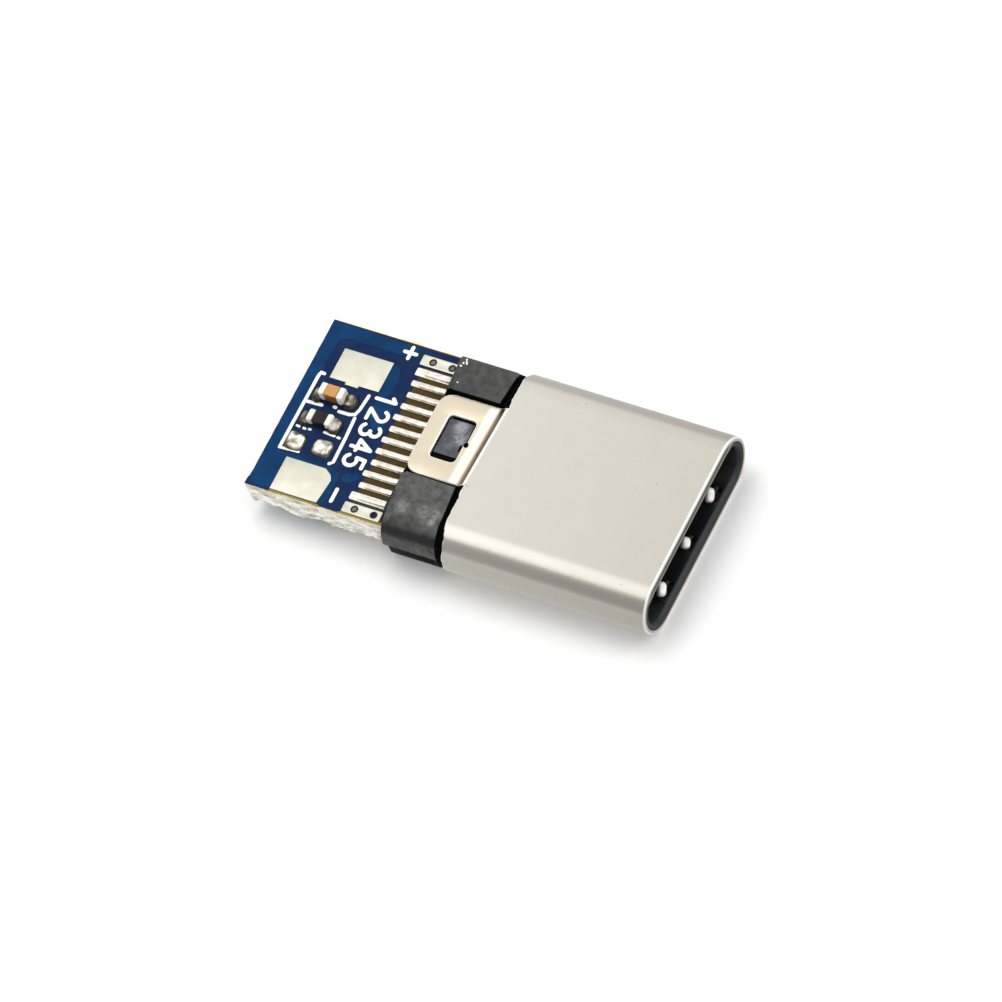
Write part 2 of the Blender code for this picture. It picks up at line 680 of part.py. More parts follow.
def spring_line():
    """(x, z) down one finger from its root, over the crest that presses on the socket, to its tip."""
    base = HOUSING_HEIGHT / 2 - SPRING_SINK + SEAT + SPRING_THICKNESS / 2
    crest = SPRING_CREST + SPRING_THICKNESS / 2
    corners = [
        (-SPRING_ROOT, base),
        (-SPRING_ROOT + SPRING_CREST_AT / 2, base),
        (-SPRING_CREST_AT, crest),
        (-SPRING_TIP_AT, crest + SPRING_THICKNESS),
    ]
    return bent_line(corners, SPRING_CREST_AT / 3)


def make_springs(plug, metal):
    half = SPRING_WIDTH / 2
    breaks = []
    for y, width in zip(FINGER_YS, FINGER_WIDTHS):
        breaks += [y - width / 2, y + width / 2]
    ys = [-half, *breaks, half]
    line = spring_line()
    base = line[0][1]
    for name, turned in (("grounding_spring_upper", False), ("grounding_spring_lower", True)):
        mesh = bpy.data.meshes.new(name)
        bm = bmesh.new()
        back = [bm.verts.new((-SPRING_BACK, y, base)) for y in ys]
        root = [bm.verts.new((-SPRING_ROOT, y, base)) for y in ys]
        for i in range(len(ys) - 1):
            bm.faces.new((back[i], back[i + 1], root[i + 1], root[i]))
        for first in range(1, len(ys) - 1, 2):
            row = [root[first], root[first + 1]]
            for x, z in line[1:]:
                new_row = [bm.verts.new((x, vert.co.y, z)) for vert in row]
                bm.faces.new((row[0], row[1], new_row[1], new_row[0]))
                row = new_row
        bmesh.ops.recalc_face_normals(bm, faces=bm.faces)
        bm.to_mesh(mesh)
        bm.free()
        spring = plug.add(name, mesh, metal, turned)
        thicken(spring, SPRING_THICKNESS)
        shade(mesh)


def via_places():
    """(x, y) of the four holes through the ground pads."""
    back = -(BLOCK_BACK + GROUND_PAD_LENGTH) + VIA_INSET
    return [(back + step * VIA_PITCH, side * GROUND_PAD_Y) for side in (-1, 1) for step in (0, 1)]


def land_outline(y):
    """A contact's land: straight sides and a round rear end."""
    radius = LAND_WIDTH / 2
    back = -(BLOCK_BACK + TAIL_LENGTH + LAND_AHEAD) + radius
    front = -BLOCK_BACK + SLOT_FIT
    angles = [math.pi / 2 + math.pi * step / 6 for step in range(7)]
    round_end = [(back + radius * math.cos(a), y + radius * math.sin(a)) for a in angles]
    return [(front, y + radius), *round_end, (front, y - radius)]


def make_board(plug, laminate):
    """The board with its lands, which are part of its copper, standing proud on both faces."""
    low = BOARD_SHIFT - BOARD_WIDTH / 2
    high = BOARD_SHIFT + BOARD_WIDTH / 2
    edge = [(-BOARD_BACK, low), (-BOARD_FRONT, low), (-BOARD_FRONT, high), (-BOARD_BACK, high)]
    holes = [circle(place, VIA_RADIUS) for place in via_places()]
    mesh = plate("circuit_board", [edge, *holes], -BOARD_TOP, BOARD_TOP)
    board = plug.add("circuit_board", mesh, laminate)
    lands = []
    for y in CONTACT_YS:
        land = plate("land", [land_outline(y)], BOARD_TOP - COPPER, BOARD_TOP + COPPER)
        lands += [land, half_turn(land)]
    cut(board, plug.add_cutter("lands", gather("lands", lands)), "UNION")
    shade(mesh)


def make_pads(plug, tinned):
    low = BOARD_TOP + SEAT
    high = low + COPPER
    back = -BOARD_BACK + SUPPLY_PAD_INSET
    front = back + SUPPLY_PAD_LENGTH
    near, far = POSITIVE_PAD_Y
    outline = [
        (back, near),
        (back + SUPPLY_PAD_LENGTH / 3, near),
        (back + SUPPLY_PAD_LENGTH / 3, near - PAD_NOTCH / 2),
        (back + SUPPLY_PAD_LENGTH * 0.6, near - PAD_NOTCH / 2),
        (back + SUPPLY_PAD_LENGTH * 0.6, near),
        (front, near),
        (front, far),
        (back, far),
    ]
    plug.add("supply_pad_positive", plate("supply_pad_positive", [outline], low, high), tinned)
    near, far = NEGATIVE_PAD_Y
    outline = [
        (back, near),
        (front - PAD_NOTCH / 2, near),
        (front, far - 2 * PAD_NOTCH),
        (front - PAD_NOTCH / 2, far - PAD_NOTCH),
        (front - 2 * PAD_NOTCH, far),
        (back, far),
    ]
    plug.add("supply_pad_negative", plate("supply_pad_negative", [outline], low, high), tinned)
    pad_back = -(BLOCK_BACK + GROUND_PAD_LENGTH)
    centre_x = pad_back + GROUND_PAD_LENGTH / 2
    for side, word in ((1, "far"), (-1, "near")):
        y = side * GROUND_PAD_Y
        pad = rounded_box((centre_x, y), GROUND_PAD_LENGTH, GROUND_PAD_WIDTH, PAD_NOTCH / 4, 2)
        holes = [circle(place, VIA_RADIUS) for place in via_places() if place[1] * side > 0]
        for face, levels in (("upper", (low, high)), ("lower", (-high, -low))):
            name = f"ground_pad_{face}_{word}"
            plug.add(name, plate(name, [pad, *holes], *levels), tinned)


def chip_box(y, height, inset=0.0, ends=(0.0, 1.0)):
    """Low and high corners of a share of a chip's length, seated over the board's copper."""
    back = CHIP_X - CHIP_LENGTH / 2
    floor = BOARD_TOP + SEAT
    low = (back + CHIP_LENGTH * ends[0], y - CHIP_WIDTH / 2 + inset, floor + inset)
    high = (back + CHIP_LENGTH * ends[1], y + CHIP_WIDTH / 2 - inset, floor + height - inset)
    return low, high


def solder_mesh(name, centre, radii):
    mesh = bpy.data.meshes.new(name)
    bm = bmesh.new()
    bmesh.ops.create_uvsphere(bm, u_segments=14, v_segments=8, radius=1.0)
    bmesh.ops.scale(bm, verts=bm.verts, vec=radii)
    bmesh.ops.translate(bm, verts=bm.verts, vec=centre)
    bm.to_mesh(mesh)
    bm.free()
    return mesh


def make_solder(plug, name, metal, centre, radii, around=None):
    """A drop sitting on the board, hollowed where it wets a chip's end."""
    mesh = solder_mesh(name, centre, radii)
    drop = plug.add(name, mesh, metal)
    below = BOARD_TOP + SEAT
    reach = 3 * max(radii)
    low = (centre[0] - reach, centre[1] - reach, below - reach)
    high = (centre[0] + reach, centre[1] + reach, below)
    cut(drop, plug.add_cutter(f"under_{name}", box(name, low, high)))
    if around:
        low = [value - FIT for value in around[0]]
        high = [value + FIT for value in around[1]]
        low[2] = below - reach
        cut(drop, plug.add_cutter(f"inside_{name}", box(name, low, high)))
    shade(mesh, 60)


def make_chip(plug, name, y, height, body_material, end_metal, solder):
    share = CHIP_END / CHIP_LENGTH
    gap = SEAT / CHIP_LENGTH
    body = chip_box(y, height, inset=SEAT, ends=(share + gap, 1 - share - gap))
    plug.add(f"{name}_body", box(f"{name}_body", *body), body_material)
    for side, ends in (("rear", (0.0, share)), ("front", (1 - share, 1.0))):
        cap_name = f"{name}_end_{side}"
        cap = plug.add(cap_name, box(cap_name, *chip_box(y, height, ends=ends)), end_metal)
        round_edges(cap, CHIP_END / 6)
    whole = chip_box(y, height)
    for side, x in (("rear", whole[0][0]), ("front", whole[1][0])):
        centre = (x, y, BOARD_TOP)
        radii = (SOLDER_REACH, SOLDER_WIDTH / 2, height * 0.85)
        make_solder(plug, f"solder_{name}_{side}", solder, centre, radii, whole)


def make_components(plug, ceramic, glaze, end_metal, solder):
    make_chip(plug, "capacitor", CAPACITOR_Y, CAPACITOR_HEIGHT, ceramic, end_metal, solder)
    make_chip(plug, "resistor", RESISTOR_Y, RESISTOR_HEIGHT, glaze, end_metal, solder)
    reach = CHIP_LENGTH / 2
    for side, x in (("rear", CHIP_X - reach), ("front", CHIP_X + reach)):
        centre = (x, EMPTY_Y, BOARD_TOP)
        make_solder(plug, f"solder_empty_{side}", solder, centre, (SOLDER_REACH, SOLDER_WIDTH / 2, BUMP_HEIGHT))


def main():
    clear_scene()
    plug = Plug()
    steel = make_material("drawn stainless steel", (0.66, 0.64, 0.60), 0.35, 1.0)
    spring_steel = make_material("spring steel", (0.70, 0.69, 0.67), 0.25, 1.0)
    plastic = make_material("black moulded LCP", (0.05, 0.05, 0.052), 0.55)
    tin = make_material("tinned copper alloy", (0.85, 0.84, 0.80), 0.30, 1.0)
    pad_tin = make_material("levelled solder", (0.82, 0.81, 0.77), 0.40, 1.0)
    laminate = make_material("glass epoxy under blue mask", (0.01, 0.06, 0.20), 0.35)
    ceramic = make_material("tan capacitor ceramic", (0.62, 0.33, 0.12), 0.5)
    glaze = make_material("black resistor glaze", (0.02, 0.02, 0.02), 0.4)
    solder = make_material("bright solder", (0.80, 0.79, 0.77), 0.20, 1.0)
    make_shell(plug, steel)
    make_front_housing(plug, plastic)
    make_rear_housing(plug, plastic)
    make_contacts(plug, tin)
    make_latch(plug, spring_steel)
    make_springs(plug, spring_steel)
    make_board(plug, laminate)
    make_pads(plug, pad_tin)
    make_components(plug, ceramic, glaze, tin, solder)


main()
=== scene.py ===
"""Looks of the USB-C plug on its solder board: finishes, fine meshes, printed marks, studio.

Lengths are written in millimetres in the part's own frame (+X out of the mouth, +Z up, z = 0 on the
ground) and turned to metres by MM. The plug's lower face is its upper one after half a turn about its
axis; face and up are 1 above and -1 below.
"""

import math

import bmesh
import bpy
from mathutils import Matrix, Vector, noise


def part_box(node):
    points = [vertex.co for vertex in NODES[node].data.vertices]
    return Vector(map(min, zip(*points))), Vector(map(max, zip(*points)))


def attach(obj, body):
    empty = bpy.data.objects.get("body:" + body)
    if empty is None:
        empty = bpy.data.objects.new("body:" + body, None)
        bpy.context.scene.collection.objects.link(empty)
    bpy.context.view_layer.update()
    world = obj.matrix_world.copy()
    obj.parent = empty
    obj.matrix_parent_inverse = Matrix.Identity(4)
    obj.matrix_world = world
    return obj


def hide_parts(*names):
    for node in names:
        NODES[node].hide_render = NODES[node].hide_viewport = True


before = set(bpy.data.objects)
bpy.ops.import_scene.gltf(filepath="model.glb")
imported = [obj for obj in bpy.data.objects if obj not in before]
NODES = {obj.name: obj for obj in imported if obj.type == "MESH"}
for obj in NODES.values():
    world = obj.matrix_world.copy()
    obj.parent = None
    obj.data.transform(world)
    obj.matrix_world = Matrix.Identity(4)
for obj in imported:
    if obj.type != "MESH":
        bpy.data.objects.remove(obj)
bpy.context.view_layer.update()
MM = 0.001

# Sizes of the solids that the finer pieces follow
MOUTH_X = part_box("shell")[1].x / MM
SHELL_LENGTH = 8.40
SHELL_REAR_X = MOUTH_X - SHELL_LENGTH
SHELL_WIDTH = (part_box("shell")[1].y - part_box("shell")[0].y) / MM
SHELL_HEIGHT = (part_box("shell")[1].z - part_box("shell")[0].z) / MM
MIDDLE = SHELL_HEIGHT / 2
SHELL_WALL = 0.16
TAB_END_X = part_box("shell")[0].x / MM
TAB_WIDTH = 3.47
TAB_SHIFT = 0.365
TAB_DROP = 0.20
TAB_CORNER = 0.65
WINDOW_LENGTH = 1.05
WINDOW_WIDTH = 1.83
WINDOW_BAR = 0.67
WINDOW_CENTRE_X = TAB_END_X + WINDOW_BAR + WINDOW_LENGTH / 2
COPPER = 0.035
BOARD_LOW, BOARD_HIGH = (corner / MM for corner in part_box("circuit_board"))
BOARD_FACE = BOARD_HIGH.z - COPPER
BOARD_UNDERSIDE = BOARD_LOW.z + COPPER
BLOCK_REAR_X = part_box("rear_housing")[0].x / MM

# The tab's joggle starts this far behind the rear edge at the middle, and slants by this much per millimetre
JOGGLE_START = 0.085
JOGGLE_SLANT = 0.038


# Nodes and meshes


def linear(hex_colour):
    """The linear RGBA of an sRGB hex colour."""
    channels = [int(hex_colour[i : i + 2], 16) / 255 for i in (1, 3, 5)]
    return (*(c / 12.92 if c <= 0.04045 else ((c + 0.055) / 1.055) ** 2.4 for c in channels), 1.0)


def feed(node, feeds):
    """Gives each named socket a value, an sRGB hex colour or another node's output."""
    for name, value in feeds.items():
        socket = next(s for s in node.inputs if s.enabled and name in (s.name, s.identifier))
        if isinstance(value, bpy.types.NodeSocket):
            node.id_data.links.new(value, socket)
        else:
            socket.default_value = linear(value) if isinstance(value, str) else value


def add(tree, kind, feeds=None, out=None, **settings):
    """Adds a node with its settings and feeds, and gives back its named output, or else its first.

    A Mix node mixes colours.
    """
    node = tree.nodes.new("ShaderNode" + kind)
    if kind == "Mix":
        node.data_type = "RGBA"
    for name, value in settings.items():
        setattr(node, name, value)
    feed(node, feeds or {})
    return next(s for s in node.outputs if s.enabled and out in (None, s.name))


def new_material(name, **values):
    """A material with its values that are the same all over, its node tree, its shader and the place."""
    material = bpy.data.materials.new(name)
    material.use_nodes = True
    tree = material.node_tree
    shader = tree.nodes["Principled BSDF"]
    feed(shader, {socket.replace("_", " "): value for socket, value in values.items()})
    return material, tree, shader, add(tree, "TexCoord", out="Object")


def coat(shader, colour, relief, strength, depth):
    """Gives a shader its colour, and bumps of a real depth that follow a pattern."""
    bump = add(shader.id_data, "Bump", {"Height": relief, "Strength": strength, "Distance": depth * MM})
    feed(shader, {"Base Color": colour, "Normal": bump})


def placed(name, data):
    thing = bpy.data.objects.new(name, data)
    bpy.context.scene.collection.objects.link(thing)
    return thing


def show(name, mesh, material, slot, *solids):
    """Puts a mesh in the scene as a piece of the plug that stands for the named solids."""
    mesh.materials.append(material)
    piece = placed(name, mesh)
    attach(piece, "root")
    if solids:
        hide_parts(*solids)
    return piece


def finish_mesh(name, bm, sharp=40):
    bmesh.ops.recalc_face_normals(bm, faces=bm.faces)
    mesh = bpy.data.meshes.new(name)
    bm.to_mesh(mesh)
    bm.free()
    mesh.shade_smooth()
    mesh.set_sharp_from_angle(angle=math.radians(sharp))
    return mesh


def sharp_edges(bm):
    return [e for e in bm.edges if len(e.link_faces) == 2 and e.calc_face_angle_signed() > math.radians(40)]


def bevel_edges(bm, edges, width, segments=2, material=-1):
    bmesh.ops.bevel(
        bm,
        geom=edges,
        offset=width * MM,
        offset_type="OFFSET",
        segments=segments,
        profile=0.5,
        affect="EDGES",
        material=material,
    )


def solid_of(node):
    """The solid's mesh, welded and with its flat faces whole again, ready for its edges to be rounded."""
    bm = bmesh.new()
    bm.from_mesh(NODES[node].data)
    bmesh.ops.remove_doubles(bm, verts=bm.verts, dist=0.0004 * MM)
    bmesh.ops.dissolve_limit(bm, angle_limit=math.radians(1), verts=bm.verts, edges=bm.edges)
    return bm


def rounded_solid(node, width):
    """The solid with a small round on each sharp outer edge."""
    bm = solid_of(node)
    bevel_edges(bm, sharp_edges(bm), width)
    return finish_mesh(node + "_fine", bm)


def to_metres(bm):
    bmesh.ops.scale(bm, verts=bm.verts, vec=(MM, MM, MM))


def taken_from(helper):
    """The finished mesh of a helper object, which then goes."""
    graph = bpy.context.evaluated_depsgraph_get()
    mesh = bpy.data.meshes.new_from_object(helper.evaluated_get(graph))
    bpy.data.objects.remove(helper)
    bm = bmesh.new()
    bm.from_mesh(mesh)
    return bm


def oval(width, height, steps, flat_points):
    """(y, z) round a flat-sided oval, anticlockwise from the mouth; flat_points are the y on each flat."""
    radius = height / 2
    middle = width / 2 - radius
    angles = [math.pi * (i / steps - 0.5) for i in range(steps + 1)]
    near_far = [(middle + radius * math.cos(a), radius * math.sin(a)) for a in angles]
    over = [(y, radius) for y in sorted(flat_points[0], reverse=True) if abs(y) < middle - 0.01]
    under = [(y, -radius) for y in sorted(flat_points[1]) if abs(y) < middle - 0.01]
    return near_far + over + [(-y, -z) for y, z in near_far] + under


def round_corners(corners, radius, steps):
    """The outline with every corner rounded."""
    outline = []
    for i, corner in enumerate(corners):
        here, before, after = Vector(corner), Vector(corners[i - 1]), Vector(corners[(i + 1) % len(corners)])
        reach = min(radius, (before - here).length * 0.49, (after - here).length * 0.49)
        start = here + (before - here).normalized() * reach
        end = here + (after - here).normalized() * reach
        for step in range(steps + 1):
            t = step / steps
            point = start * (1 - t) ** 2 + here * 2 * t * (1 - t) + end * t**2
            outline.append((point.x, point.y))
    return outline


def filled(outlines, low, high):
    """A flat solid between two heights: the first outline less the others."""
    curve = bpy.data.curves.new("outline", "CURVE")
    curve.dimensions = "2D"
    curve.fill_mode = "BOTH"
    curve.extrude = (high - low) / 2
    for outline in outlines:
        spline = curve.splines.new("POLY")
        spline.points.add(len(outline) - 1)
        for point, (u, v) in zip(spline.points, outline):
            point.co = (u, v, 0.0, 1.0)
        spline.use_cyclic_u = True
    bm = taken_from(placed("outline", curve))
    bmesh.ops.remove_doubles(bm, verts=bm.verts, dist=0.0005)
    bmesh.ops.translate(bm, verts=bm.verts, vec=(0, 0, (low + high) / 2))
    to_metres(bm)
    bmesh.ops.recalc_face_normals(bm, faces=bm.faces)
    return bm


def joined(parts):
    """Several bmeshes in one."""
    whole = bmesh.new()
    for bm in parts:
        mesh = bpy.data.meshes.new("part")
        bm.to_mesh(mesh)
        bm.free()
        whole.from_mesh(mesh)
        bpy.data.meshes.remove(mesh)
    return whole


def turned_under(bm):
    """The same form on the underside, half a turn about the plug's axis."""
    turn = Matrix.Translation((0, 0, SHELL_HEIGHT * MM)) @ Matrix.Rotation(math.pi, 4, "X")
    bmesh.ops.transform(bm, matrix=turn, verts=bm.verts)
    return bm


# Metals

# Tones down each tab's joggle: painted highlights and a painted dark reflection, then the tab's own cream.
# Where each tone starts behind the tube's rear edge, over what length it comes in, and the tone
JOGGLE_LIGHT_AND_TAB_TONE = (
    (-0.10, 0.10, "#FFFFFA"),
    (0.03, 0.05, "#86746A"),
    (0.15, 0.08, "#B79D86"),
    (0.24, 0.08, "#E8D5BA"),
    (0.33, 0.08, "#FFFCF2"),
    (0.66, 0.14, "#E6DBC2"),
)


def drawn_stainless():
    """Stainless steel, deep drawn and tumbled: satin, with a faint grain along the plug and a few pits.

    The punched tabs keep a warmer, creamier tone than the tube; down each tab's joggle the colour carries
    painted highlights and a painted dark reflection.
    """
    material, tree, shader, place = new_material("drawn stainless steel", Metallic=1.0)
    along, across, height = (add(tree, "SeparateXYZ", {"Vector": place}, out=axis) for axis in "XYZ")
    cloud = add(tree, "TexNoise", {"Vector": place, "Scale": 1 / (1.3 * MM), "Detail": 4.0})
    rear_tone = add(tree, "Mix", {"Factor": cloud, "A": "#D8D3C9", "B": "#DDD9CF"})
    mouth_tone = add(tree, "Mix", {"Factor": cloud, "A": "#CDC7BD", "B": "#D3CEC4"})
    forward = add(tree, "MapRange", {"Value": along, "From Min": 0.5 * MM, "From Max": MOUTH_X * MM})
    toned = add(tree, "Mix", {"Factor": forward, "A": rear_tone, "B": mouth_tone})

    above = add(tree, "Math", {"Value": height, "Value_001": MIDDLE * MM}, operation="SUBTRACT")
    face = add(tree, "Math", {"Value": above}, operation="SIGN")
    turned = add(tree, "Math", {"Value": across, "Value_001": face}, operation="MULTIPLY")
    aside = add(tree, "Math", {"Value": turned, "Value_001": TAB_SHIFT * MM}, operation="SUBTRACT")
    aside = add(tree, "Math", {"Value": aside}, operation="ABSOLUTE")
    half = TAB_WIDTH / 2
    sides = {"Value": aside, "From Min": (half + 0.01) * MM, "From Max": (half - 0.12) * MM}
    on_tab = add(tree, "MapRange", sides, interpolation_type="SMOOTHSTEP")
    just_behind = SHELL_REAR_X - 0.15
    tube_end = {"Value": along, "From Min": (just_behind + 0.01) * MM, "From Max": (just_behind - 0.01) * MM}
    behind_edge = add(tree, "MapRange", tube_end)
    on_tab = add(tree, "Math", {"Value": on_tab, "Value_001": behind_edge}, operation="MAXIMUM")
    slant = add(tree, "Math", {"Value": turned, "Value_001": JOGGLE_SLANT}, operation="MULTIPLY")
    from_root = add(tree, "Math", {"Value": along, "Value_001": slant}, operation="SUBTRACT")
    from_root = add(tree, "Math", {"Value": from_root, "Value_001": JOGGLE_START * MM}, operation="ADD")
    # Painted highlights and a painted dark reflection down the joggle, ending in the tab's cream
    for behind, length, tone in JOGGLE_LIGHT_AND_TAB_TONE:
        start = (SHELL_REAR_X - behind) * MM
        stretch = {"Value": from_root, "From Min": start, "From Max": start - length * MM}
        reached = add(tree, "MapRange", stretch, interpolation_type="SMOOTHSTEP")
        reached = add(tree, "Math", {"Value": reached, "Value_001": on_tab}, operation="MULTIPLY")
        toned = add(tree, "Mix", {"Factor": reached, "A": toned, "B": tone})

    pits = add(tree, "TexVoronoi", {"Vector": place, "Scale": 1 / (0.9 * MM), "Randomness": 1.0})
    pit = add(tree, "MapRange", {"Value": pits, "From Min": 0.035, "From Max": 0.02})
    base = add(tree, "Mix", {"Factor": pit, "A": toned, "B": "#A59F96"})
    grain_sizes = (1 / (0.9 * MM), 1 / (0.035 * MM), 1 / (0.035 * MM))
    grain_space = add(tree, "Mapping", {"Vector": place, "Scale": grain_sizes})
    grain = add(tree, "TexNoise", {"Vector": grain_space, "Scale": 1.0, "Detail": 3.0})
    feed(shader, {"Roughness": add(tree, "MapRange", {"Value": grain, "To Min": 0.24, "To Max": 0.34})})
    coat(shader, base, grain, 0.35, 0.0012)
    return material


def highlight_edge_steel():
    """The cut and the drawn-over edges of the same steel, tumbled, with a nearly white base so that they show
    as pale lines: a painted highlight.
    """
    return new_material("stainless edge painted white as a highlight", Metallic=1.0, Roughness=0.60, Base_Color="#FFFCF4")[0]


def metal(name, dark, light, rough, patch_size, bump_height):
    """A plated or rolled metal: two close tones in soft patches, and low waves in its skin."""
    material, tree, shader, place = new_material(name, Metallic=1.0)
    patches = add(tree, "TexNoise", {"Vector": place, "Scale": 1 / (patch_size * MM), "Detail": 4.0})
    spread = add(tree, "MapRange", {"Value": patches, "From Min": 0.35, "From Max": 0.65})
    base = add(tree, "Mix", {"Factor": spread, "A": dark, "B": light})
    uneven = add(tree, "MapRange", {"Value": patches, "To Min": rough * 1.2, "To Max": rough * 0.8})
    feed(shader, {"Roughness": uneven})
    coat(shader, base, patches, 0.6, bump_height)
    return material


def set_solder(name, dark, light, low, high):
    """Reflowed solder: a mirror skin over small waves, its colour painted pale where the waves face up and
    dark elsewhere, so painted highlights and painted dark reflections lie side by side.
    """
    material, tree, shader, place = new_material(name, Metallic=1.0, Roughness=0.34)
    upward = add(tree, "SeparateXYZ", {"Vector": add(tree, "NewGeometry", out="Normal")}, out="Z")
    wave = add(tree, "TexNoise", {"Vector": place, "Scale": 1 / (0.34 * MM), "Detail": 1.0})
    # Paler where the waves face up: a painted highlight
    tilt = add(tree, "Math", {"Value": wave, "Value_001": upward}, operation="MULTIPLY")
    painted_upward_light = add(tree, "MapRange", {"Value": tilt, "From Min": low, "From Max": high})
    base = add(tree, "Mix", {"Factor": painted_upward_light, "A": dark, "B": light})
    coat(shader, base, wave, 0.5, 0.03)
    return material


# Plastics

# Places painted paler on the block: (x, y, z), how far the paler patch reaches, how strong it is
WING_PALE_PATCHES = (
    ((-1.95, -2.85, 2.33), 0.42, 0.55),
    ((-1.10, -2.90, 2.30), 0.50, 0.42),
    ((-0.58, -2.80, 2.33), 0.30, 0.62),
    ((-0.62, -3.10, 2.25), 0.26, 1.00),
    ((-1.80, -2.05, 2.38), 0.40, 0.16),
    ((-0.95, -3.85, 1.60), 0.50, 0.12),
)
BOSS_PALE_PATCHES = (
    ((-1.50, 0.95, 2.01), 0.42, 1.00),
    ((-1.32, 0.50, 2.01), 0.40, 0.90),
    ((-1.12, 0.65, 2.01), 0.30, 0.50),
    ((-1.62, 0.15, 2.01), 0.30, 0.25),
)
# Height of the middle of the band of painted shade along the near shoulder
SHADE_BELT_HEIGHT = 1.93


def moulded_lcp(name, tones, far_tones, pale_tone, pale_patches, belt_shade):
    """Black glass-filled liquid-crystal polymer, injection moulded: a dull grey-black skin.

    It is painted paler in a few places. The last argument is how dark the band of painted shade along the
    near shoulder is, and below the middle the skin is painted near-black as shade.
    """
    material, tree, shader, place = new_material(name, Roughness=0.55, Specular_IOR_Level=0.25)
    across, height = (add(tree, "SeparateXYZ", {"Vector": place}, out=axis) for axis in "YZ")
    skin = add(tree, "TexNoise", {"Vector": place, "Scale": 1 / (0.30 * MM), "Detail": 7.0, "Roughness": 0.6})
    skin = add(tree, "MapRange", {"Value": skin, "From Min": 0.34, "From Max": 0.66})
    near_skin = add(tree, "Mix", {"Factor": skin, "A": tones[0], "B": tones[1]})
    far_skin = add(tree, "Mix", {"Factor": skin, "A": far_tones[0], "B": far_tones[1]})
    far = add(tree, "MapRange", {"Value": across, "From Min": 0.0, "From Max": 1.0 * MM})
    tone = add(tree, "Mix", {"Factor": far, "A": near_skin, "B": far_skin})

    lightened = 0.0
    for centre, reach, strength in pale_patches:
        ends = {"Vector": place, "Vector_001": Vector(centre) * MM}
        apart = add(tree, "VectorMath", ends, operation="DISTANCE")
        fade = {"Value": apart, "From Min": reach * MM, "From Max": reach * 0.25 * MM, "To Max": strength}
        one_patch = add(tree, "MapRange", fade, interpolation_type="SMOOTHSTEP")
        lightened = add(tree, "Math", {"Value": lightened, "Value_001": one_patch}, operation="MAXIMUM")
    scratch_sizes = (1 / (0.16 * MM), 1 / (0.10 * MM), 1 / (0.1 * MM))
    laid = {"Vector": place, "Rotation": (0.0, 0.0, 0.5), "Scale": scratch_sizes}
    scratch_space = add(tree, "Mapping", laid)
    scratches = add(tree, "TexNoise", {"Vector": scratch_space, "Scale": 1.0, "Detail": 6.0})
    broken = {"Value": scratches, "From Min": 0.36, "From Max": 0.62, "To Min": 0.25, "To Max": 1.35}
    broken = add(tree, "MapRange", broken)
    lightened = add(tree, "Math", {"Value": lightened, "Value_001": broken}, operation="MULTIPLY")
    worn = add(tree, "Mix", {"Factor": lightened, "A": tone, "B": pale_tone})

    # A band of painted shade along the near shoulder
    from_belt = add(tree, "Math", {"Value": height, "Value_001": SHADE_BELT_HEIGHT * MM}, operation="SUBTRACT")
    from_belt = add(tree, "Math", {"Value": from_belt}, operation="ABSOLUTE")
    fade = {"Value": from_belt, "From Min": 0.30 * MM, "From Max": 0.06 * MM, "To Max": belt_shade}
    in_belt = add(tree, "MapRange", fade, interpolation_type="SMOOTHSTEP")
    near = add(tree, "MapRange", {"Value": across, "From Min": -3.0 * MM, "From Max": -3.2 * MM})
    in_belt = add(tree, "Math", {"Value": in_belt, "Value_001": near}, operation="MULTIPLY")
    shade_belted = add(tree, "Mix", {"Factor": in_belt, "A": worn, "B": "#161618"})
    # Painted shade: below the middle the block turns near-black and less shiny
    low = add(tree, "MapRange", {"Value": height, "From Min": 1.19 * MM, "From Max": 1.14 * MM})
    base = add(tree, "Mix", {"Factor": low, "A": shade_belted, "B": "#0C0C0E"})
    shine = add(tree, "MapRange", {"Value": low, "To Min": 0.25, "To Max": 0.08})
    feed(shader, {"Specular IOR Level": shine})
    relief = add(tree, "Math", {"Value": skin, "Value_001": scratches}, operation="ADD")
    coat(shader, base, relief, 0.8, 0.018)
    return material


# Height of the painted highlight along the upper lip's inner edge
LIP_HIGHLIGHT_HEIGHT = 2.03


def cavity_lcp():
    """The same moulding round the mouth, painted as light falls on it: a grey lip, near-black farther in as
    shade, and a painted highlight along the upper lip's inner edge.
    """
    name = "moulded black LCP of the mouth"
    material, tree, shader, place = new_material(name, Roughness=0.45, Specular_IOR_Level=0.3)
    along, height = (add(tree, "SeparateXYZ", {"Vector": place}, out=axis) for axis in "XZ")
    skin = add(tree, "TexNoise", {"Vector": place, "Scale": 1 / (0.12 * MM), "Detail": 4.0})
    dust = add(tree, "TexNoise", {"Vector": place, "Scale": 1 / (0.6 * MM), "Detail": 6.0})
    inside = add(tree, "Mix", {"Factor": skin, "A": "#121213", "B": "#1E1E1F"})
    lip = add(tree, "Mix", {"Factor": dust, "A": "#17191A", "B": "#2C3032"})
    # A painted highlight along the upper lip's inner edge
    from_edge = add(tree, "Math", {"Value": height, "Value_001": LIP_HIGHLIGHT_HEIGHT * MM}, operation="SUBTRACT")
    from_edge = add(tree, "Math", {"Value": from_edge}, operation="ABSOLUTE")
    lightened = add(tree, "MapRange", {"Value": from_edge, "From Min": 0.10 * MM, "From Max": 0.04 * MM})
    lip = add(tree, "Mix", {"Factor": lightened, "A": lip, "B": "#837E76"})
    # Painted light and shade: grey towards the rim, near-black farther in
    mouth = {"Value": along, "From Min": (MOUTH_X - 0.45) * MM, "From Max": (MOUTH_X - 0.10) * MM}
    outward = add(tree, "MapRange", mouth, interpolation_type="SMOOTHSTEP")
    base = add(tree, "Mix", {"Factor": outward, "A": inside, "B": lip})
    coat(shader, base, skin, 0.3, 0.004)
    return material


# Board and chips


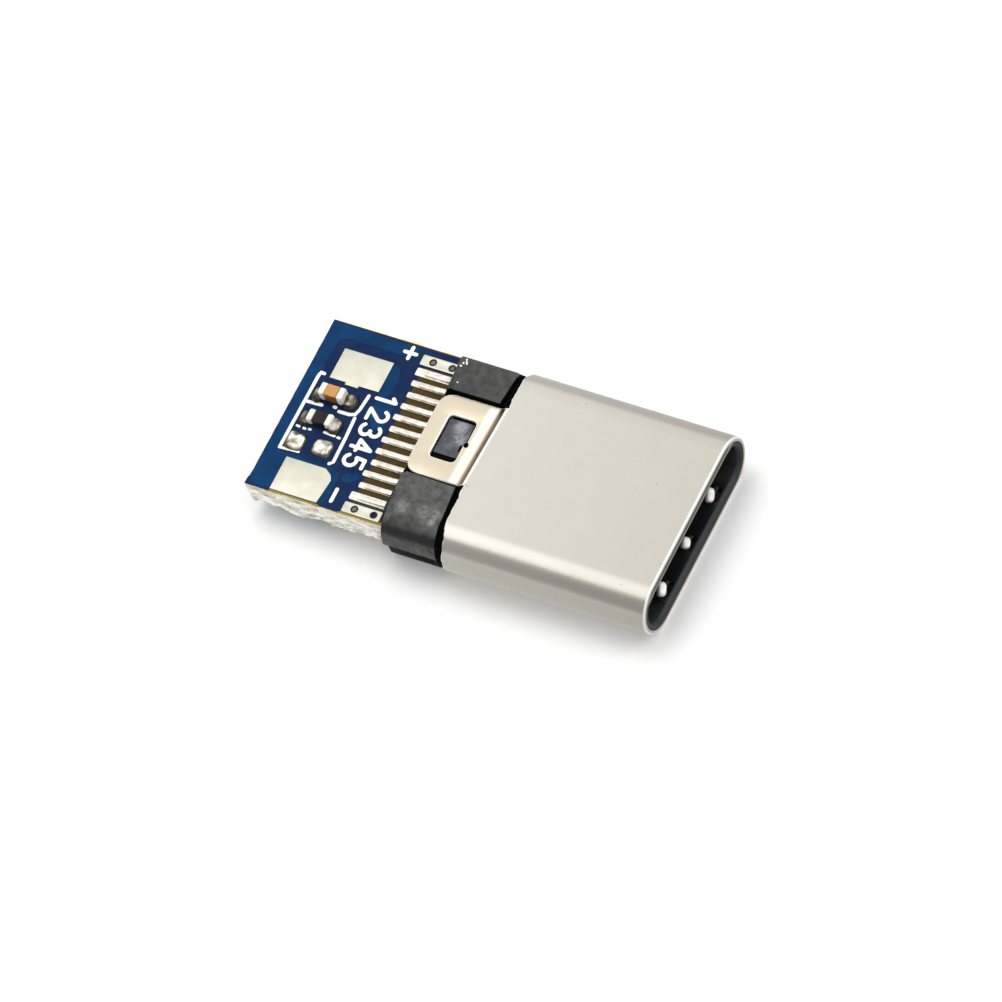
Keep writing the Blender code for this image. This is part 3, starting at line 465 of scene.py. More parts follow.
def torn_glass():
    """Torn glass fibre: whitish tufts, with greenish resin left between them and yellow near the copper."""
    material, tree, shader, place = new_material("torn glass fibre", Roughness=0.8, Specular_IOR_Level=0.2)
    height = add(tree, "SeparateXYZ", {"Vector": place}, out="Z")
    tuft_sizes = (1 / (0.60 * MM), 1 / (0.20 * MM), 1 / (0.22 * MM))
    tufts_space = add(tree, "Mapping", {"Vector": place, "Scale": tuft_sizes})
    tufts = add(tree, "TexNoise", {"Vector": tufts_space, "Scale": 1.0, "Detail": 5.0})
    torn = add(tree, "MapRange", {"Value": tufts, "From Min": 0.36, "From Max": 0.58})
    body = add(tree, "Mix", {"Factor": torn, "A": "#C9C5B2", "B": "#FEFDF8"})
    top = {"Value": height, "From Min": (BOARD_FACE - 0.22) * MM, "From Max": BOARD_FACE * MM}
    under_mask = add(tree, "MapRange", top)
    base = add(tree, "Mix", {"Factor": under_mask, "A": body, "B": "#E3D8A2"})
    coat(shader, base, tufts, 0.7, 0.03)
    return material


def glass_epoxy():
    """Glass-epoxy laminate: brown resin seen from above, pale torn glass fibres where the board was sawn."""
    name = "sawn glass-epoxy laminate"
    material, tree, shader, place = new_material(name, Roughness=0.75, Specular_IOR_Level=0.2)
    upward = add(tree, "SeparateXYZ", {"Vector": add(tree, "NewGeometry", out="Normal")}, out="Z")
    flat = add(tree, "MapRange", {"Value": upward, "From Min": 0.5, "From Max": 0.9})
    layer_sizes = (1 / (0.35 * MM), 1 / (0.35 * MM), 1 / (0.07 * MM))
    layers_space = add(tree, "Mapping", {"Vector": place, "Scale": layer_sizes})
    layers = add(tree, "TexNoise", {"Vector": layers_space, "Scale": 1.0, "Detail": 5.0})
    torn = add(tree, "MapRange", {"Value": layers, "From Min": 0.38, "From Max": 0.62})
    edge = add(tree, "Mix", {"Factor": torn, "A": "#AEA587", "B": "#F1ECDC"})
    weave = add(tree, "TexNoise", {"Vector": place, "Scale": 1 / (0.25 * MM), "Detail": 3.0})
    resin = add(tree, "Mix", {"Factor": weave, "A": "#2C200C", "B": "#55431C"})
    across = add(tree, "SeparateXYZ", {"Vector": place}, out="Y")
    rim = add(tree, "MapRange", {"Value": across, "From Min": -3.40 * MM, "From Max": -3.47 * MM})
    face = add(tree, "Mix", {"Factor": rim, "A": resin, "B": "#8E7C46"})
    base = add(tree, "Mix", {"Factor": flat, "A": edge, "B": face})
    coat(shader, base, layers, 0.6, 0.02)
    return material


def solder_mask(name, dark, light):
    """Blue photo-imaged epoxy mask: a glossy film, a shade lighter where copper lies under it."""
    material, tree, shader, place = new_material(name, Roughness=0.32, Specular_IOR_Level=0.08)
    cloud = add(tree, "TexNoise", {"Vector": place, "Scale": 1 / (0.7 * MM), "Detail": 4.0})
    spread = add(tree, "MapRange", {"Value": cloud, "From Min": 0.35, "From Max": 0.65})
    base = add(tree, "Mix", {"Factor": spread, "A": dark, "B": light})
    ripple = add(tree, "TexNoise", {"Vector": place, "Scale": 1 / (0.09 * MM), "Detail": 2.0})
    coat(shader, base, ripple, 0.3, 0.002)
    return material


def shaded_ceramic(name, top, sides, rough, grain):
    """Fired ceramic, in one colour on its top and another on its sides; the capacitor's darker sides are
    painted shade.
    """
    material, tree, shader, place = new_material(name, Roughness=rough, Specular_IOR_Level=0.3)
    upward = add(tree, "SeparateXYZ", {"Vector": add(tree, "NewGeometry", out="Normal")}, out="Z")
    flat = add(tree, "MapRange", {"Value": upward, "From Min": 0.3, "From Max": 0.9})
    speckle = add(tree, "TexNoise", {"Vector": place, "Scale": 1 / (grain * MM), "Detail": 4.0})
    tone = add(tree, "Mix", {"Factor": flat, "A": sides, "B": top})
    dim = add(tree, "MapRange", {"Value": speckle, "To Min": 0.7, "To Max": 1.3})
    feed(shader, {"Base Color": add(tree, "VectorMath", {"Vector": tone, "Scale": dim}, operation="SCALE")})
    return material


def dull_solid(name, dark, light, rough, grain, specular=0.3):
    """A fired, glazed or printed solid with a fine grain in its colour."""
    material, tree, shader, place = new_material(name, Roughness=rough, Specular_IOR_Level=specular)
    speckle = add(tree, "TexNoise", {"Vector": place, "Scale": 1 / (grain * MM), "Detail": 4.0})
    base = add(tree, "Mix", {"Factor": speckle, "A": dark, "B": light})
    coat(shader, base, speckle, 0.4, 0.003)
    return material


# Shell

# Beside a tab the tube's cut edge eases into the joggle's root over this distance
ROOT_ROUND = 0.13
ROOT_STEP = 0.03
JOGGLE_LENGTH = 0.36
CORNER_STEPS = 8
MOUTH_COLLAR = 0.16
REAR_COLLAR = 0.12
# The y of each tab's two sides
TAB_SIDES = {face: (face * TAB_SHIFT - TAB_WIDTH / 2, face * TAB_SHIFT + TAB_WIDTH / 2) for face in (1, -1)}
# (y, how far forward the trimmed rear edge lies there) on the upper face; the lower face is its half turn
TRIMMED_EDGE = (
    (-4.2, 0.12),
    (-3.6, 0.09),
    (-3.0, -0.06),
    (-2.0, -0.10),
    (-1.4, -0.15),
    (2.2, -0.02),
    (4.2, -0.05),
)


def eased(t):
    """From 0 to 1, slow at both ends."""
    t = min(1.0, max(0.0, t))
    return t * t * (3 - 2 * t)


def trimmed_x(y):
    for (low, low_x), (high, high_x) in zip(TRIMMED_EDGE, TRIMMED_EDGE[1:]):
        if low <= y <= high:
            return low_x + (high_x - low_x) * eased((y - low) / (high - low))
    return 0.0


def rear_edge_x(y, z):
    """How far the tube's cut rear edge departs from straight: a slow wave, and nicks that trimming left."""
    upper = eased(0.5 + z / SHELL_HEIGHT)
    nicks = 0.040 * noise.noise(Vector((y * 2.6, z * 2.6, 0.5)))
    nicks += 0.030 * noise.noise(Vector((y * 8, z * 8, 3.0)))
    return trimmed_x(y) * upper + trimmed_x(-y) * (1 - upper) + nicks


def root_shift(y, face):
    """How far behind the straight rear edge the tab's joggle starts."""
    return JOGGLE_START - JOGGLE_SLANT * y * face


def rear_step(y, z):
    """How far forward the tube ends: the joggle's root along a tab, easing out to the cut edge beside it."""
    face = 1 if z > 0 else -1
    low, high = TAB_SIDES[face]
    root = ROOT_STEP - root_shift(min(max(y, low), high), face)
    gap = max(low - y, y - high)
    return root + (rear_edge_x(y, z) - root) * eased(gap / ROOT_ROUND)


def tab_profile():
    """(x behind the rear edge, drop) down the outer face of the joggle."""
    steps = 14
    drops = [(JOGGLE_LENGTH * i / steps, TAB_DROP * eased(i / steps)) for i in range(1, steps + 1)]
    return [*drops, (JOGGLE_LENGTH + 0.03, TAB_DROP)]


def shell_section():
    """(y, z) round the tube's outer face, with close points where the tabs' sides meet it."""
    flats = []
    for low, high in TAB_SIDES.values():
        rounds = [0.0, 0.012, 0.035, 0.07, ROOT_ROUND]
        beside = [low - gap for gap in rounds] + [high + gap for gap in rounds]
        even = [i * 0.07 for i in range(-60, 61)]
        apart = [y for y in even if low < y < high or min(abs(y - low), abs(y - high)) > ROOT_ROUND + 0.02]
        flats.append([y for y in apart if min(abs(y - low), abs(y - high)) > 0.03] + beside)
    return oval(SHELL_WIDTH, SHELL_HEIGHT, 40, flats)


def window_outline(face):
    """A tab's window with rounded corners, its front edge worn forward over half its width."""
    front, rear = WINDOW_CENTRE_X + WINDOW_LENGTH / 2, WINDOW_CENTRE_X - WINDOW_LENGTH / 2
    worn, half = front + 0.09, WINDOW_WIDTH / 2
    points = [(worn, half), (rear, half), (rear, -half), (front, -half), (front, -0.10), (worn, 0.0)]
    return round_corners([(x, face * (TAB_SHIFT + y)) for x, y in points], 0.20, 6)


def add_tab(bm, rear, face):
    """A tab on the tube's rear edge: down the joggle, then flat round its window to its rounded end."""
    low, high = TAB_SIDES[face]
    row = [v for v in rear if low - 0.01 < v.co.y < high + 0.01 and (v.co.z - MIDDLE) * face > MIDDLE - 0.01]
    row.sort(key=lambda v: v.co.y)
    for behind, drop in tab_profile():
        z = MIDDLE + face * (MIDDLE - drop)
        new_row = []
        for v in row:
            x = SHELL_REAR_X - behind - root_shift(v.co.y, face)
            new_row.append(bm.verts.new((x, v.co.y, z)))
        for a in range(len(row) - 1):
            bm.faces.new((row[a], row[a + 1], new_row[a + 1], new_row[a]))
        row = new_row
    low, high = row[0].co.y, row[-1].co.y
    corners = [(row[-1].co.x, high), (TAB_END_X, high), (TAB_END_X, low), (row[0].co.x, low)]
    around = round_corners(corners, TAB_CORNER, CORNER_STEPS)
    of_end = around[CORNER_STEPS + 1 : -CORNER_STEPS - 1]
    outline = [*row, *[bm.verts.new((x, y, z)) for x, y in of_end]]
    loop = [bm.edges.get((a, b)) or bm.edges.new((a, b)) for a, b in zip(outline, outline[1:] + outline[:1])]
    hole = [bm.verts.new((x, y, z)) for x, y in window_outline(face)]
    loop += [bm.edges.new((a, b)) for a, b in zip(hole, hole[1:] + hole[:1])]
    bmesh.ops.triangle_fill(bm, use_beauty=True, edges=loop)


def shell_sheet():
    """The outer face of tube and tabs as one open sheet."""
    bm = bmesh.new()
    section = shell_section()
    front = [bm.verts.new((MOUTH_X, y, MIDDLE + z)) for y, z in section]
    rear = [bm.verts.new((SHELL_REAR_X + rear_step(y, z), y, MIDDLE + z)) for y, z in section]
    collar_xs = (MOUTH_X - MOUTH_COLLAR, SHELL_REAR_X + REAR_COLLAR)
    collars = [[bm.verts.new((x, y, MIDDLE + z)) for y, z in section] for x in collar_xs]
    rings = [front, *collars, rear]
    for ahead, behind in zip(rings, rings[1:]):
        for i in range(len(section)):
            j = (i + 1) % len(section)
            bm.faces.new((ahead[i], ahead[j], behind[j], behind[i]))
    for face in (1, -1):
        add_tab(bm, rear, face)
    to_metres(bm)
    bmesh.ops.recalc_face_normals(bm, faces=bm.faces)
    top = max(bm.faces, key=lambda f: f.calc_center_median().z + f.calc_center_median().x)
    if top.normal.z < 0:
        bmesh.ops.reverse_faces(bm, faces=bm.faces)
    return bm


def cut_edges(bm, at_mouth):
    """The thickened sheet's sharp edges: those round the mouth, or all the others."""
    sharp = [e for e in bm.edges if len(e.link_faces) == 2 and e.calc_face_angle(0) >= math.radians(55)]
    return [e for e in sharp if at_mouth == all(v.co.x > (MOUTH_X - 0.01) * MM for v in e.verts)]


def is_outer(edge):
    """Whether an edge of the mouth lies on the shell's outer face."""
    flat = SHELL_WIDTH / 2 - MIDDLE
    reach = [math.hypot(max(0.0, abs(v.co.y / MM) - flat), v.co.z / MM - MIDDLE) for v in edge.verts]
    return min(reach) > MIDDLE - SHELL_WALL / 2


def make_shell(steel, edge_highlight):
    """The sheet thickened inwards, its mouth edge rounded as drawing leaves it, its cut edges only broken."""
    mesh = bpy.data.meshes.new("shell_sheet")
    bm = shell_sheet()
    bm.to_mesh(mesh)
    bm.free()
    sheet = placed("shell_sheet", mesh)
    wall = sheet.modifiers.new("wall", "SOLIDIFY")
    wall.thickness = SHELL_WALL * MM
    wall.offset = -1.0
    wall.use_even_offset = True
    bm = taken_from(sheet)
    # Both sets of rounded edges take the nearly white edge steel: a painted highlight
    bevel_edges(bm, [e for e in cut_edges(bm, True) if is_outer(e)], 0.065, 4, 1)
    bevel_edges(bm, cut_edges(bm, False), 0.050, 3, 1)
    shell = show("shell_fine", finish_mesh("shell_fine", bm, 50), steel, "steel", "shell")
    shell.data.materials.append(edge_highlight)


# Housings

BLOCK_FRONT_X = SHELL_REAR_X - 0.28
BOSS_LOWERED = 0.07
# The boss's near side stands this much farther in, its rear and its front edge this much farther out
BOSS_SIDE_IN = 0.19
BOSS_REAR_OUT = 0.05
BOSS_FRONT_OUT = 0.08
BLOCK_FLAT = 2.80
STEPPED_FLAT = 2.65
# How far the stepped corner reaches out, and how square it is, above and below
STEPPED_REACH = {1: 1.11, -1: 1.15}
CORNER_POWER = {1: 5, -1: 7}
# From this y on, the block's rear corners but the far upper one lie up to this much farther forward
CORNER_FROM_Y = 2.85
CORNER_FORWARD = 0.26


def cut_at(bm, along, value):
    """Splits every face that crosses a plane, so that one side can be moved alone."""
    normal = {"x": (1, 0, 0), "y": (0, 1, 0), "z": (0, 0, 1)}[along]
    place = Vector(normal) * value * MM
    whole = [*bm.verts, *bm.edges, *bm.faces]
    bmesh.ops.bisect_plane(bm, geom=whole, dist=1e-7, plane_co=place, plane_no=normal)


def front_setback(y, up):
    """How far the block's front edge lies behind the plain one's: beside the tab; ahead at the sides."""
    beside, fading, most = (1.45, 1.35, 0.06) if y * up < 0 else (2.18, 1.30, 0.07)
    return most - (most + 0.06) * min(1.0, max(0.0, (abs(y) - beside) / fading))


def shape_rear_housing(bm):
    """The block as moulded: squarer on one diagonal, its front set back from the shell's edge."""
    radius = MIDDLE - 0.02
    cut_at(bm, "x", BLOCK_FRONT_X - 0.20)
    for z in (-0.045, -0.02, 0.02, 0.045):
        cut_at(bm, "z", MIDDLE + z)
    for vert in bm.verts:
        x, y, z = (c / MM for c in vert.co)
        if x > SHELL_REAR_X - 0.005:
            continue
        side, up = (1 if y > 0 else -1), (1 if z > MIDDLE else -1)
        height = abs(z - MIDDLE)
        stepped = side == up and height > 0.03
        flat = STEPPED_FLAT if side == up else BLOCK_FLAT
        across = abs(y) - flat
        reach = math.hypot(max(across, 0.0), height)
        outer = reach > radius - 0.03
        if abs(x - BLOCK_FRONT_X) < 0.07 and reach > 0.8:
            vert.co.x -= front_setback(y, up) * MM
        if stepped and across > 0 and outer:
            angle = math.atan2(height, across)
            power = CORNER_POWER[up]
            sides = (math.cos(angle) / STEPPED_REACH[up]) ** power + (math.sin(angle) / radius) ** power
            reach = sides ** (-1 / power)
            across, height = reach * math.cos(angle), reach * math.sin(angle)
        vert.co.y = side * (flat + across) * MM
        vert.co.z = (MIDDLE + up * height) * MM
        if abs(y * up + 1.45) < 0.01 and height > 0.7:
            vert.co.y -= up * (0.07 if x > -0.6 else 0.03) * MM
        if x < -2.4 and (side != up or side < 0):
            vert.co.x += CORNER_FORWARD * eased((abs(y) - CORNER_FROM_Y) / 0.85) * MM
        beside = (y - up * TAB_SHIFT) * up
        if abs(x - WINDOW_CENTRE_X) < WINDOW_LENGTH / 2 and abs(beside) < WINDOW_WIDTH / 2 and height > 0.75:
            vert.co.z -= up * (BOSS_LOWERED if height > 0.88 else 0.0) * MM
            vert.co.y += up * (BOSS_SIDE_IN if beside < -WINDOW_WIDTH / 4 else 0) * MM
            forward = BOSS_FRONT_OUT if x > -1.15 and y * up > 0.26 else 0
            vert.co.x += (-BOSS_REAR_OUT if x < WINDOW_CENTRE_X - WINDOW_LENGTH / 4 else forward) * MM


def flash_scrap():
    """A crumb of flashing that stands out of the boss at the window's front edge."""
    bm = bmesh.new()
    bmesh.ops.create_icosphere(bm, subdivisions=2, radius=0.125 * MM)
    for vert in bm.verts:
        vert.co *= 1 + 0.35 * noise.noise(vert.co / (0.07 * MM))
        vert.co = Vector((vert.co.x * 0.75, vert.co.y, vert.co.z * 0.7))
    bmesh.ops.translate(bm, verts=bm.verts, vec=Vector((-0.925, 0.27, 2.17)) * MM)
    return bm


def finish_of(face):
    """A face's finish on the block: 0 skin, 1 painted black as shade in the groove behind the shell, on the
    boss's sides and beside the tab, 2 boss.
    """
    x, y, z = (c / MM for c in face.calc_center_median())
    up = 1 if z > MIDDLE else -1
    height = abs(z - MIDDLE)
    beside = (y - up * TAB_SHIFT) * up
    if x > -0.25 or x > BLOCK_FRONT_X - 0.12 and face.normal.x > 0.5:
        return 1
    if abs(x - WINDOW_CENTRE_X) < WINDOW_LENGTH / 2 and abs(beside) < WINDOW_WIDTH / 2 and height > 0.84:
        return 2 if abs(face.normal.z) > 0.5 else 1
    if abs(beside) < TAB_WIDTH / 2 + 0.2 and x > BLOCK_REAR_X + 0.1 and 0.6 < height < 1.15:
        return 1
    return 0


def make_rear_housing(worn, gap_shade_black, boss):
    bm = solid_of("rear_housing")
    shape_rear_housing(bm)
    bevel_edges(bm, sharp_edges(bm), 0.025)
    bmesh.ops.recalc_face_normals(bm, faces=bm.faces)
    bm.normal_update()
    for face in bm.faces:
        face.material_index = finish_of(face)
    mesh = finish_mesh("rear_housing_fine", bm)
    block = show("rear_housing_fine", mesh, worn, "black_plastic", "rear_housing")
    block.data.materials.append(gap_shade_black)
    block.data.materials.append(boss)
    show("boss_flash", finish_mesh("boss_flash", flash_scrap()), gap_shade_black, "black_plastic")


def make_front_housing(dark):
    """The lining, its front drawn out to the rim, and the upper lip's inner edge with it."""
    lining = solid_of("front_housing")
    for vert in lining.verts:
        upper = eased((vert.co.z / MM - 1.60) / 0.30)
        if vert.co.x > (MOUTH_X - 0.08) * MM:
            vert.co.x = (MOUTH_X - 0.010) * MM
        elif vert.co.x > (MOUTH_X - 0.20) * MM:
            vert.co.x += ((MOUTH_X - 0.014) * MM - vert.co.x) * upper
    bevel_edges(lining, sharp_edges(lining), 0.010, 1)
    mesh = finish_mesh("front_housing_fine", lining)
    show("front_housing_fine", mesh, dark, "black_plastic", "front_housing")


# (x, y) of each flake on the far wing, the smallest first
FLAKES = ((-2.345, 2.49), (-2.402, 3.378), (-2.542, 3.167), (-2.443, 3.467), (-2.50, 3.30), (-2.36, 3.31))


def make_flakes(ink):
    """White dust on the far wing."""
    flakes = []
    for i, (x, y) in enumerate(FLAKES):
        size = 0.045 if i else 0.035
        bm = bmesh.new()
        bmesh.ops.create_icosphere(bm, subdivisions=1, radius=size * MM)
        for vert in bm.verts:
            vert.co *= 1 + 0.5 * noise.noise(vert.co / (0.03 * MM) + Vector((i * 3.7, 0, 0)))
            vert.co.z *= 0.4
        bmesh.ops.translate(bm, verts=bm.verts, vec=Vector((x, y, SHELL_HEIGHT - 0.02)) * MM)
        flakes.append(bm)
    show("dust", finish_mesh("dust", joined(flakes)), ink, "black_plastic")


# Contacts, latch and springs

TAIL_SLIMMING = 0.85
TAIL_FLATTENING = 0.62


def make_contacts(tin):
    """Contacts whose pressed tails lie a little slimmer and lower than the plain strip."""
    for row in ("upper", "lower"):
        for number in range(1, 13):
            node = f"contact_{row}_{number:02d}"
            low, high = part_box(node)
            centre_y = (low.y + high.y) / 2
            face = 1 if row == "upper" else -1
            seat = (MIDDLE + face * (BOARD_FACE + 0.03 - MIDDLE)) * MM
            bm = solid_of(node)
            for vert in bm.verts:
                if vert.co.x < (BLOCK_REAR_X + 0.02) * MM:
                    vert.co.y = centre_y + (vert.co.y - centre_y) * TAIL_SLIMMING
                    vert.co.z = seat + (vert.co.z - seat) * TAIL_FLATTENING
            bevel_edges(bm, sharp_edges(bm), 0.015)
            show(node + "_fine", finish_mesh(node, bm), tin, "tinned_contact", node)


def make_springs(sheet_in_shade, steel, crest_highlight):
    # The springs' sheets are painted dark as shade in the mouth
    for node in ("grounding_spring_upper", "grounding_spring_lower"):
        show(node + "_fine", rounded_solid(node, 0.012), sheet_in_shade, "spring_steel", node)
    show("latch_fine", rounded_solid("latch", 0.02), steel, "spring_steel", "latch")
    # The crests' steel is painted white as a highlight
    crests = joined([bright_crest(*crest) for crest in CRESTS])
    show("finger_crests", finish_mesh("finger_crests", crests), crest_highlight, "spring_steel")


# (x, y) of each finger's crest in the floor of the mouth, and its breadth against the widest
CRESTS = ((7.885, 1.935, 1.0), (7.915, -0.155, 0.78), (7.92, -2.18, 1.0))
CREST_HEIGHT = 0.70


def bright_crest(x, y, size):
    """The pressed, rounded crest of one grounding finger in the floor of the mouth; its steel is painted
    white as a highlight.
    """
    bm = bmesh.new()
    bmesh.ops.create_uvsphere(bm, u_segments=32, v_segments=16, radius=1.0)
    for vert in bm.verts:
        u, v, w = vert.co
        square = (abs(u) ** 3 + abs(v) ** 3 + abs(w) ** 3) ** (-1 / 3)
        vert.co = Vector((u * 0.17, v * 0.27 * size, w * 0.17)) * square
    lean = Matrix.Rotation(math.radians(38), 4, "Y") @ Matrix.Rotation(math.radians(24), 4, "Z")
    place = Matrix.Translation(Vector((x, y, CREST_HEIGHT)) * MM)
    bmesh.ops.transform(bm, matrix=place @ lean @ Matrix.Scale(MM, 4), verts=bm.verts)
    return bm


# Board

ROW_OPENING_X = -4.17
PLATED_HOLE = 0.085
HOLE_RIM = 0.15


def contact_ys():
    boxes = [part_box(f"contact_upper_{n:02d}") for n in range(1, 13)]
    return sorted((low.y + high.y) / 2 / MM for low, high in boxes)


def via_places():
    """(x, y) of the four plated holes."""
    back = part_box("ground_pad_upper_far")[0].x / MM + 0.48
    return [(back + step * 0.80, side * 3.26) for side in (-1, 1) for step in (0, 1)]


def ring_points(centre, radius, steps=20):
    angles = [2 * math.pi * i / steps for i in range(steps)]
    return [(centre[0] + radius * math.cos(a), centre[1] + radius * math.sin(a)) for a in angles]


def rectangle(low_x, low_y, high_x, high_y):
    return [(low_x, low_y), (high_x, low_y), (high_x, high_y), (low_x, high_y)]


def sawn_outline():
    """The slab's edge: cut clean at the rear, torn along the near side, narrower inside the housing."""
    low_x, low_y, high_x, high_y = BOARD_LOW.x, BOARD_LOW.y, BOARD_HIGH.x, BOARD_HIGH.y
    outline = [(low_x - 0.05, low_y + 0.06)]
    steps = 110
    for i in range(1, steps):
        x = low_x + (BLOCK_REAR_X - 0.03 - low_x) * i / steps
        torn = 0.03 * noise.noise(Vector((x * 2.3, 0, 0))) + 0.025 * noise.noise(Vector((x * 9, 4, 0)))
        outline.append((x, low_y + 0.03 + max(torn, -0.02)))
    outline += [(BLOCK_REAR_X, low_y + 0.04), (high_x, low_y + 0.04), (high_x, high_y - 0.14)]
    outline += [(BLOCK_REAR_X, high_y - 0.14), (BLOCK_REAR_X - 0.03, high_y), (low_x, high_y)]
    rear_steps = 40
    for i in range(rear_steps):
        y = high_y - 0.1 - (high_y - low_y - 0.55) * i / (rear_steps - 1)
        outline.append((low_x + 0.008 + 0.012 * noise.noise(Vector((0, y * 3, 7))), y))
    return outline


def make_board(laminate):
    """Laminate slab with its holes; the lands' copper is made with its tin."""
    holes = [ring_points(at, 0.13) for at in via_places()]
    slab = filled([sawn_outline(), *holes], BOARD_UNDERSIDE, BOARD_FACE)
    show("board_laminate", finish_mesh("board_laminate", slab), laminate, "board_mask", "circuit_board")


def torn_strip(edge_y, side, span, levels, reach, seed):
    """A ragged layer of glass fibres that stands out of a sawn edge."""
    steps = round((span[1] - span[0]) / 0.045)
    outer = []
    for i in range(steps + 1):
        x = span[0] + (span[1] - span[0]) * i / steps
        coarse = noise.noise(Vector((x * 1.7, seed * 5.1, 0.3)))
        fine = noise.noise(Vector((x * 8.0, seed * 3.3, 1.7)))
        ends = min(1.0, (x - span[0]) / 0.15, (span[1] - x) / 0.15)
        outer.append((x, edge_y + side * max(0.0, reach * (0.55 + 0.8 * coarse + 0.55 * fine)) * ends))
    inner = [(span[1], edge_y - side * 0.08), (span[0], edge_y - side * 0.08)]
    return filled([outer + inner], *levels)


def make_fibres(fibre):
    """Five torn layers along the near edge and three thin ones along the far edge."""
    near = BOARD_LOW.y + 0.035
    thick = (BOARD_FACE - BOARD_UNDERSIDE) / 5
    strips = []
    for layer in range(5):
        top = BOARD_FACE - 0.02 - layer * thick
        reach = (0.03, 0.05, 0.07, 0.10, 0.13)[layer]
        start = BOARD_LOW.x - (0.02 if layer else -0.9)
        span, levels = (start, BLOCK_REAR_X - 0.02), (top - thick * 0.92, top)
        strips.append(torn_strip(near, -1, span, levels, reach, layer + 1))
    for layer, (top, bottom, reach) in enumerate(((1.67, 1.40, 0.10), (1.38, 1.0, 0.06), (0.98, 0.72, 0.08))):
        span = (BOARD_LOW.x + 0.25, BLOCK_REAR_X - 0.35)
        strips.append(torn_strip(BOARD_HIGH.y - 0.01, 1, span, (bottom, top), reach, layer + 11))
    show("torn_fibres", finish_mesh("torn_fibres", joined(strips), 30), fibre, "board_mask")


def layered(name, shapes, low, thickness, material, rise=0.0):
    """Thin flat shapes on the board; rise lifts each a little above the last where they cross."""
    whole = [filled(outlines, low, low + thickness + rise * i) for i, outlines in enumerate(shapes)]
    show(name, finish_mesh(name, joined(whole)), material, "board_mask")


def ragged(first_x, step, low_y, swing, pace, seed):
    """Nine points along a film edge that wanders by the given swing."""
    xs = [first_x + step * i for i in range(9)]
    return [(x, low_y + 0.05 + swing * noise.noise(Vector((x * pace, seed, 0)))) for x in xs]


def mask_outline():
    """The film's edge: along the board, but in from the near edge at the bare pad and the near ground pad."""
    low_y, high_y = BOARD_LOW.y, BOARD_HIGH.y
    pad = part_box("supply_pad_negative")
    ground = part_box("ground_pad_upper_near")
    rear_pad, front_pad, pad_y = pad[0].x / MM, pad[1].x / MM, pad[0].y / MM
    return [
        (BOARD_LOW.x - 0.045, low_y + 0.07),
        *ragged(-8.3, 0.10, low_y, 0.02, 7, 0),
        (rear_pad - 0.01, low_y + 0.06),
        (rear_pad, pad_y + 0.02),
        (front_pad - 0.02, pad_y + 0.02),
        (front_pad + 0.02, low_y + 0.05),
        *ragged(-5.27, 0.09, low_y, 0.03, 6, 2),
        (ground[0].x / MM + 0.06, ground[0].y / MM + 0.03),
        (BLOCK_REAR_X + 0.01, ground[0].y / MM + 0.03),
        (BLOCK_REAR_X + 0.01, high_y - 0.13),
        (BLOCK_REAR_X - 0.04, high_y - 0.07),
        (-6.0, high_y - 0.04),
        (BOARD_LOW.x + 0.012, high_y - 0.02),
        (BOARD_LOW.x + 0.02, low_y + 0.50),
        (BOARD_LOW.x - 0.035, low_y + 0.30),
    ]


# Copper under the mask, the x and then the y of each field's corners on the upper face
COPPER_FIELDS = (
    (
        (-8.31, -5.22, -5.08, -5.10, -5.60, -7.80, -7.80, -7.55, -5.15, -4.85, -4.60, -8.31),
        (-3.45, -3.50, -3.10, -2.10, -1.92, -1.90, 3.02, 3.20, 3.20, 3.35, 3.68, 3.74),
    ),
    ((-5.34, -5.02, -4.88, -4.84, -4.96, -5.34), (2.78, 2.66, 2.35, 1.72, 1.34, 1.34)),
    ((-5.26, -4.86, -4.46, -4.50, -4.84, -5.18), (1.22, 1.24, 1.05, 0.10, 0.0, 0.45)),
    ((-4.98, -4.42, -4.34, -4.72, -5.0), (-1.98, -1.86, -2.10, -2.36, -2.30)),
)


def make_mask(over_laminate, over_copper):
    """The film over the laminate, open along the contact row, and over it the brighter fields on copper."""
    row = rectangle(ROW_OPENING_X, -2.99, BLOCK_REAR_X - 0.01, 2.99)
    layered("mask_over_laminate", [[mask_outline(), row]], BOARD_FACE, 0.006, over_laminate)
    fields = [[round_corners(list(zip(*field)), 0.14, 5)] for field in COPPER_FIELDS]
    layered("mask_over_copper", fields, BOARD_FACE, 0.010, over_copper)
    low_x, low_y, high_y = BOARD_LOW.x + 0.03, BOARD_LOW.y + 0.12, BOARD_HIGH.y - 0.04
    film = filled([rectangle(low_x, low_y, -4.75, high_y)], BOARD_UNDERSIDE - 0.010, BOARD_UNDERSIDE)
    show("mask_below", finish_mesh("mask_below", film), over_copper, "board_mask")


def stroke(points, width):
    """The outline of one pen stroke with round ends, through the points."""
    line = [Vector(p) for p in points]
    half = width / 2
    left, right = [], []
    for i, here in enumerate(line):
        before, after = line[max(i - 1, 0)], line[min(i + 1, len(line) - 1)]
        along = (after - before).normalized()
        across = Vector((-along.y, along.x)) * half
        if 0 < i < len(line) - 1:
            bend = (here - before).normalized().dot(along)
            across /= max(bend, 0.6)
        left.append(here + across)
        right.append(here - across)
    caps = []
    for end, inner in ((line[-1], line[-2]), (line[0], line[1])):
        out = (end - inner).normalized()
        across = Vector((-out.y, out.x))
        angles = [math.pi * k / 6 for k in range(1, 6)]
        caps.append([end + half * (out * math.sin(a) + across * math.cos(a)) for a in angles])
    return [(p.x, p.y) for p in (*left, *caps[0], *right[::-1], *caps[1])]


def arc(centre, radii, start, end, steps=12):
    """Points on an ellipse's arc between two angles in degrees."""
    angles = [math.radians(start + (end - start) * i / steps) for i in range(steps + 1)]
    return [(centre[0] + radii[0] * math.cos(a), centre[1] + radii[1] * math.sin(a)) for a in angles]


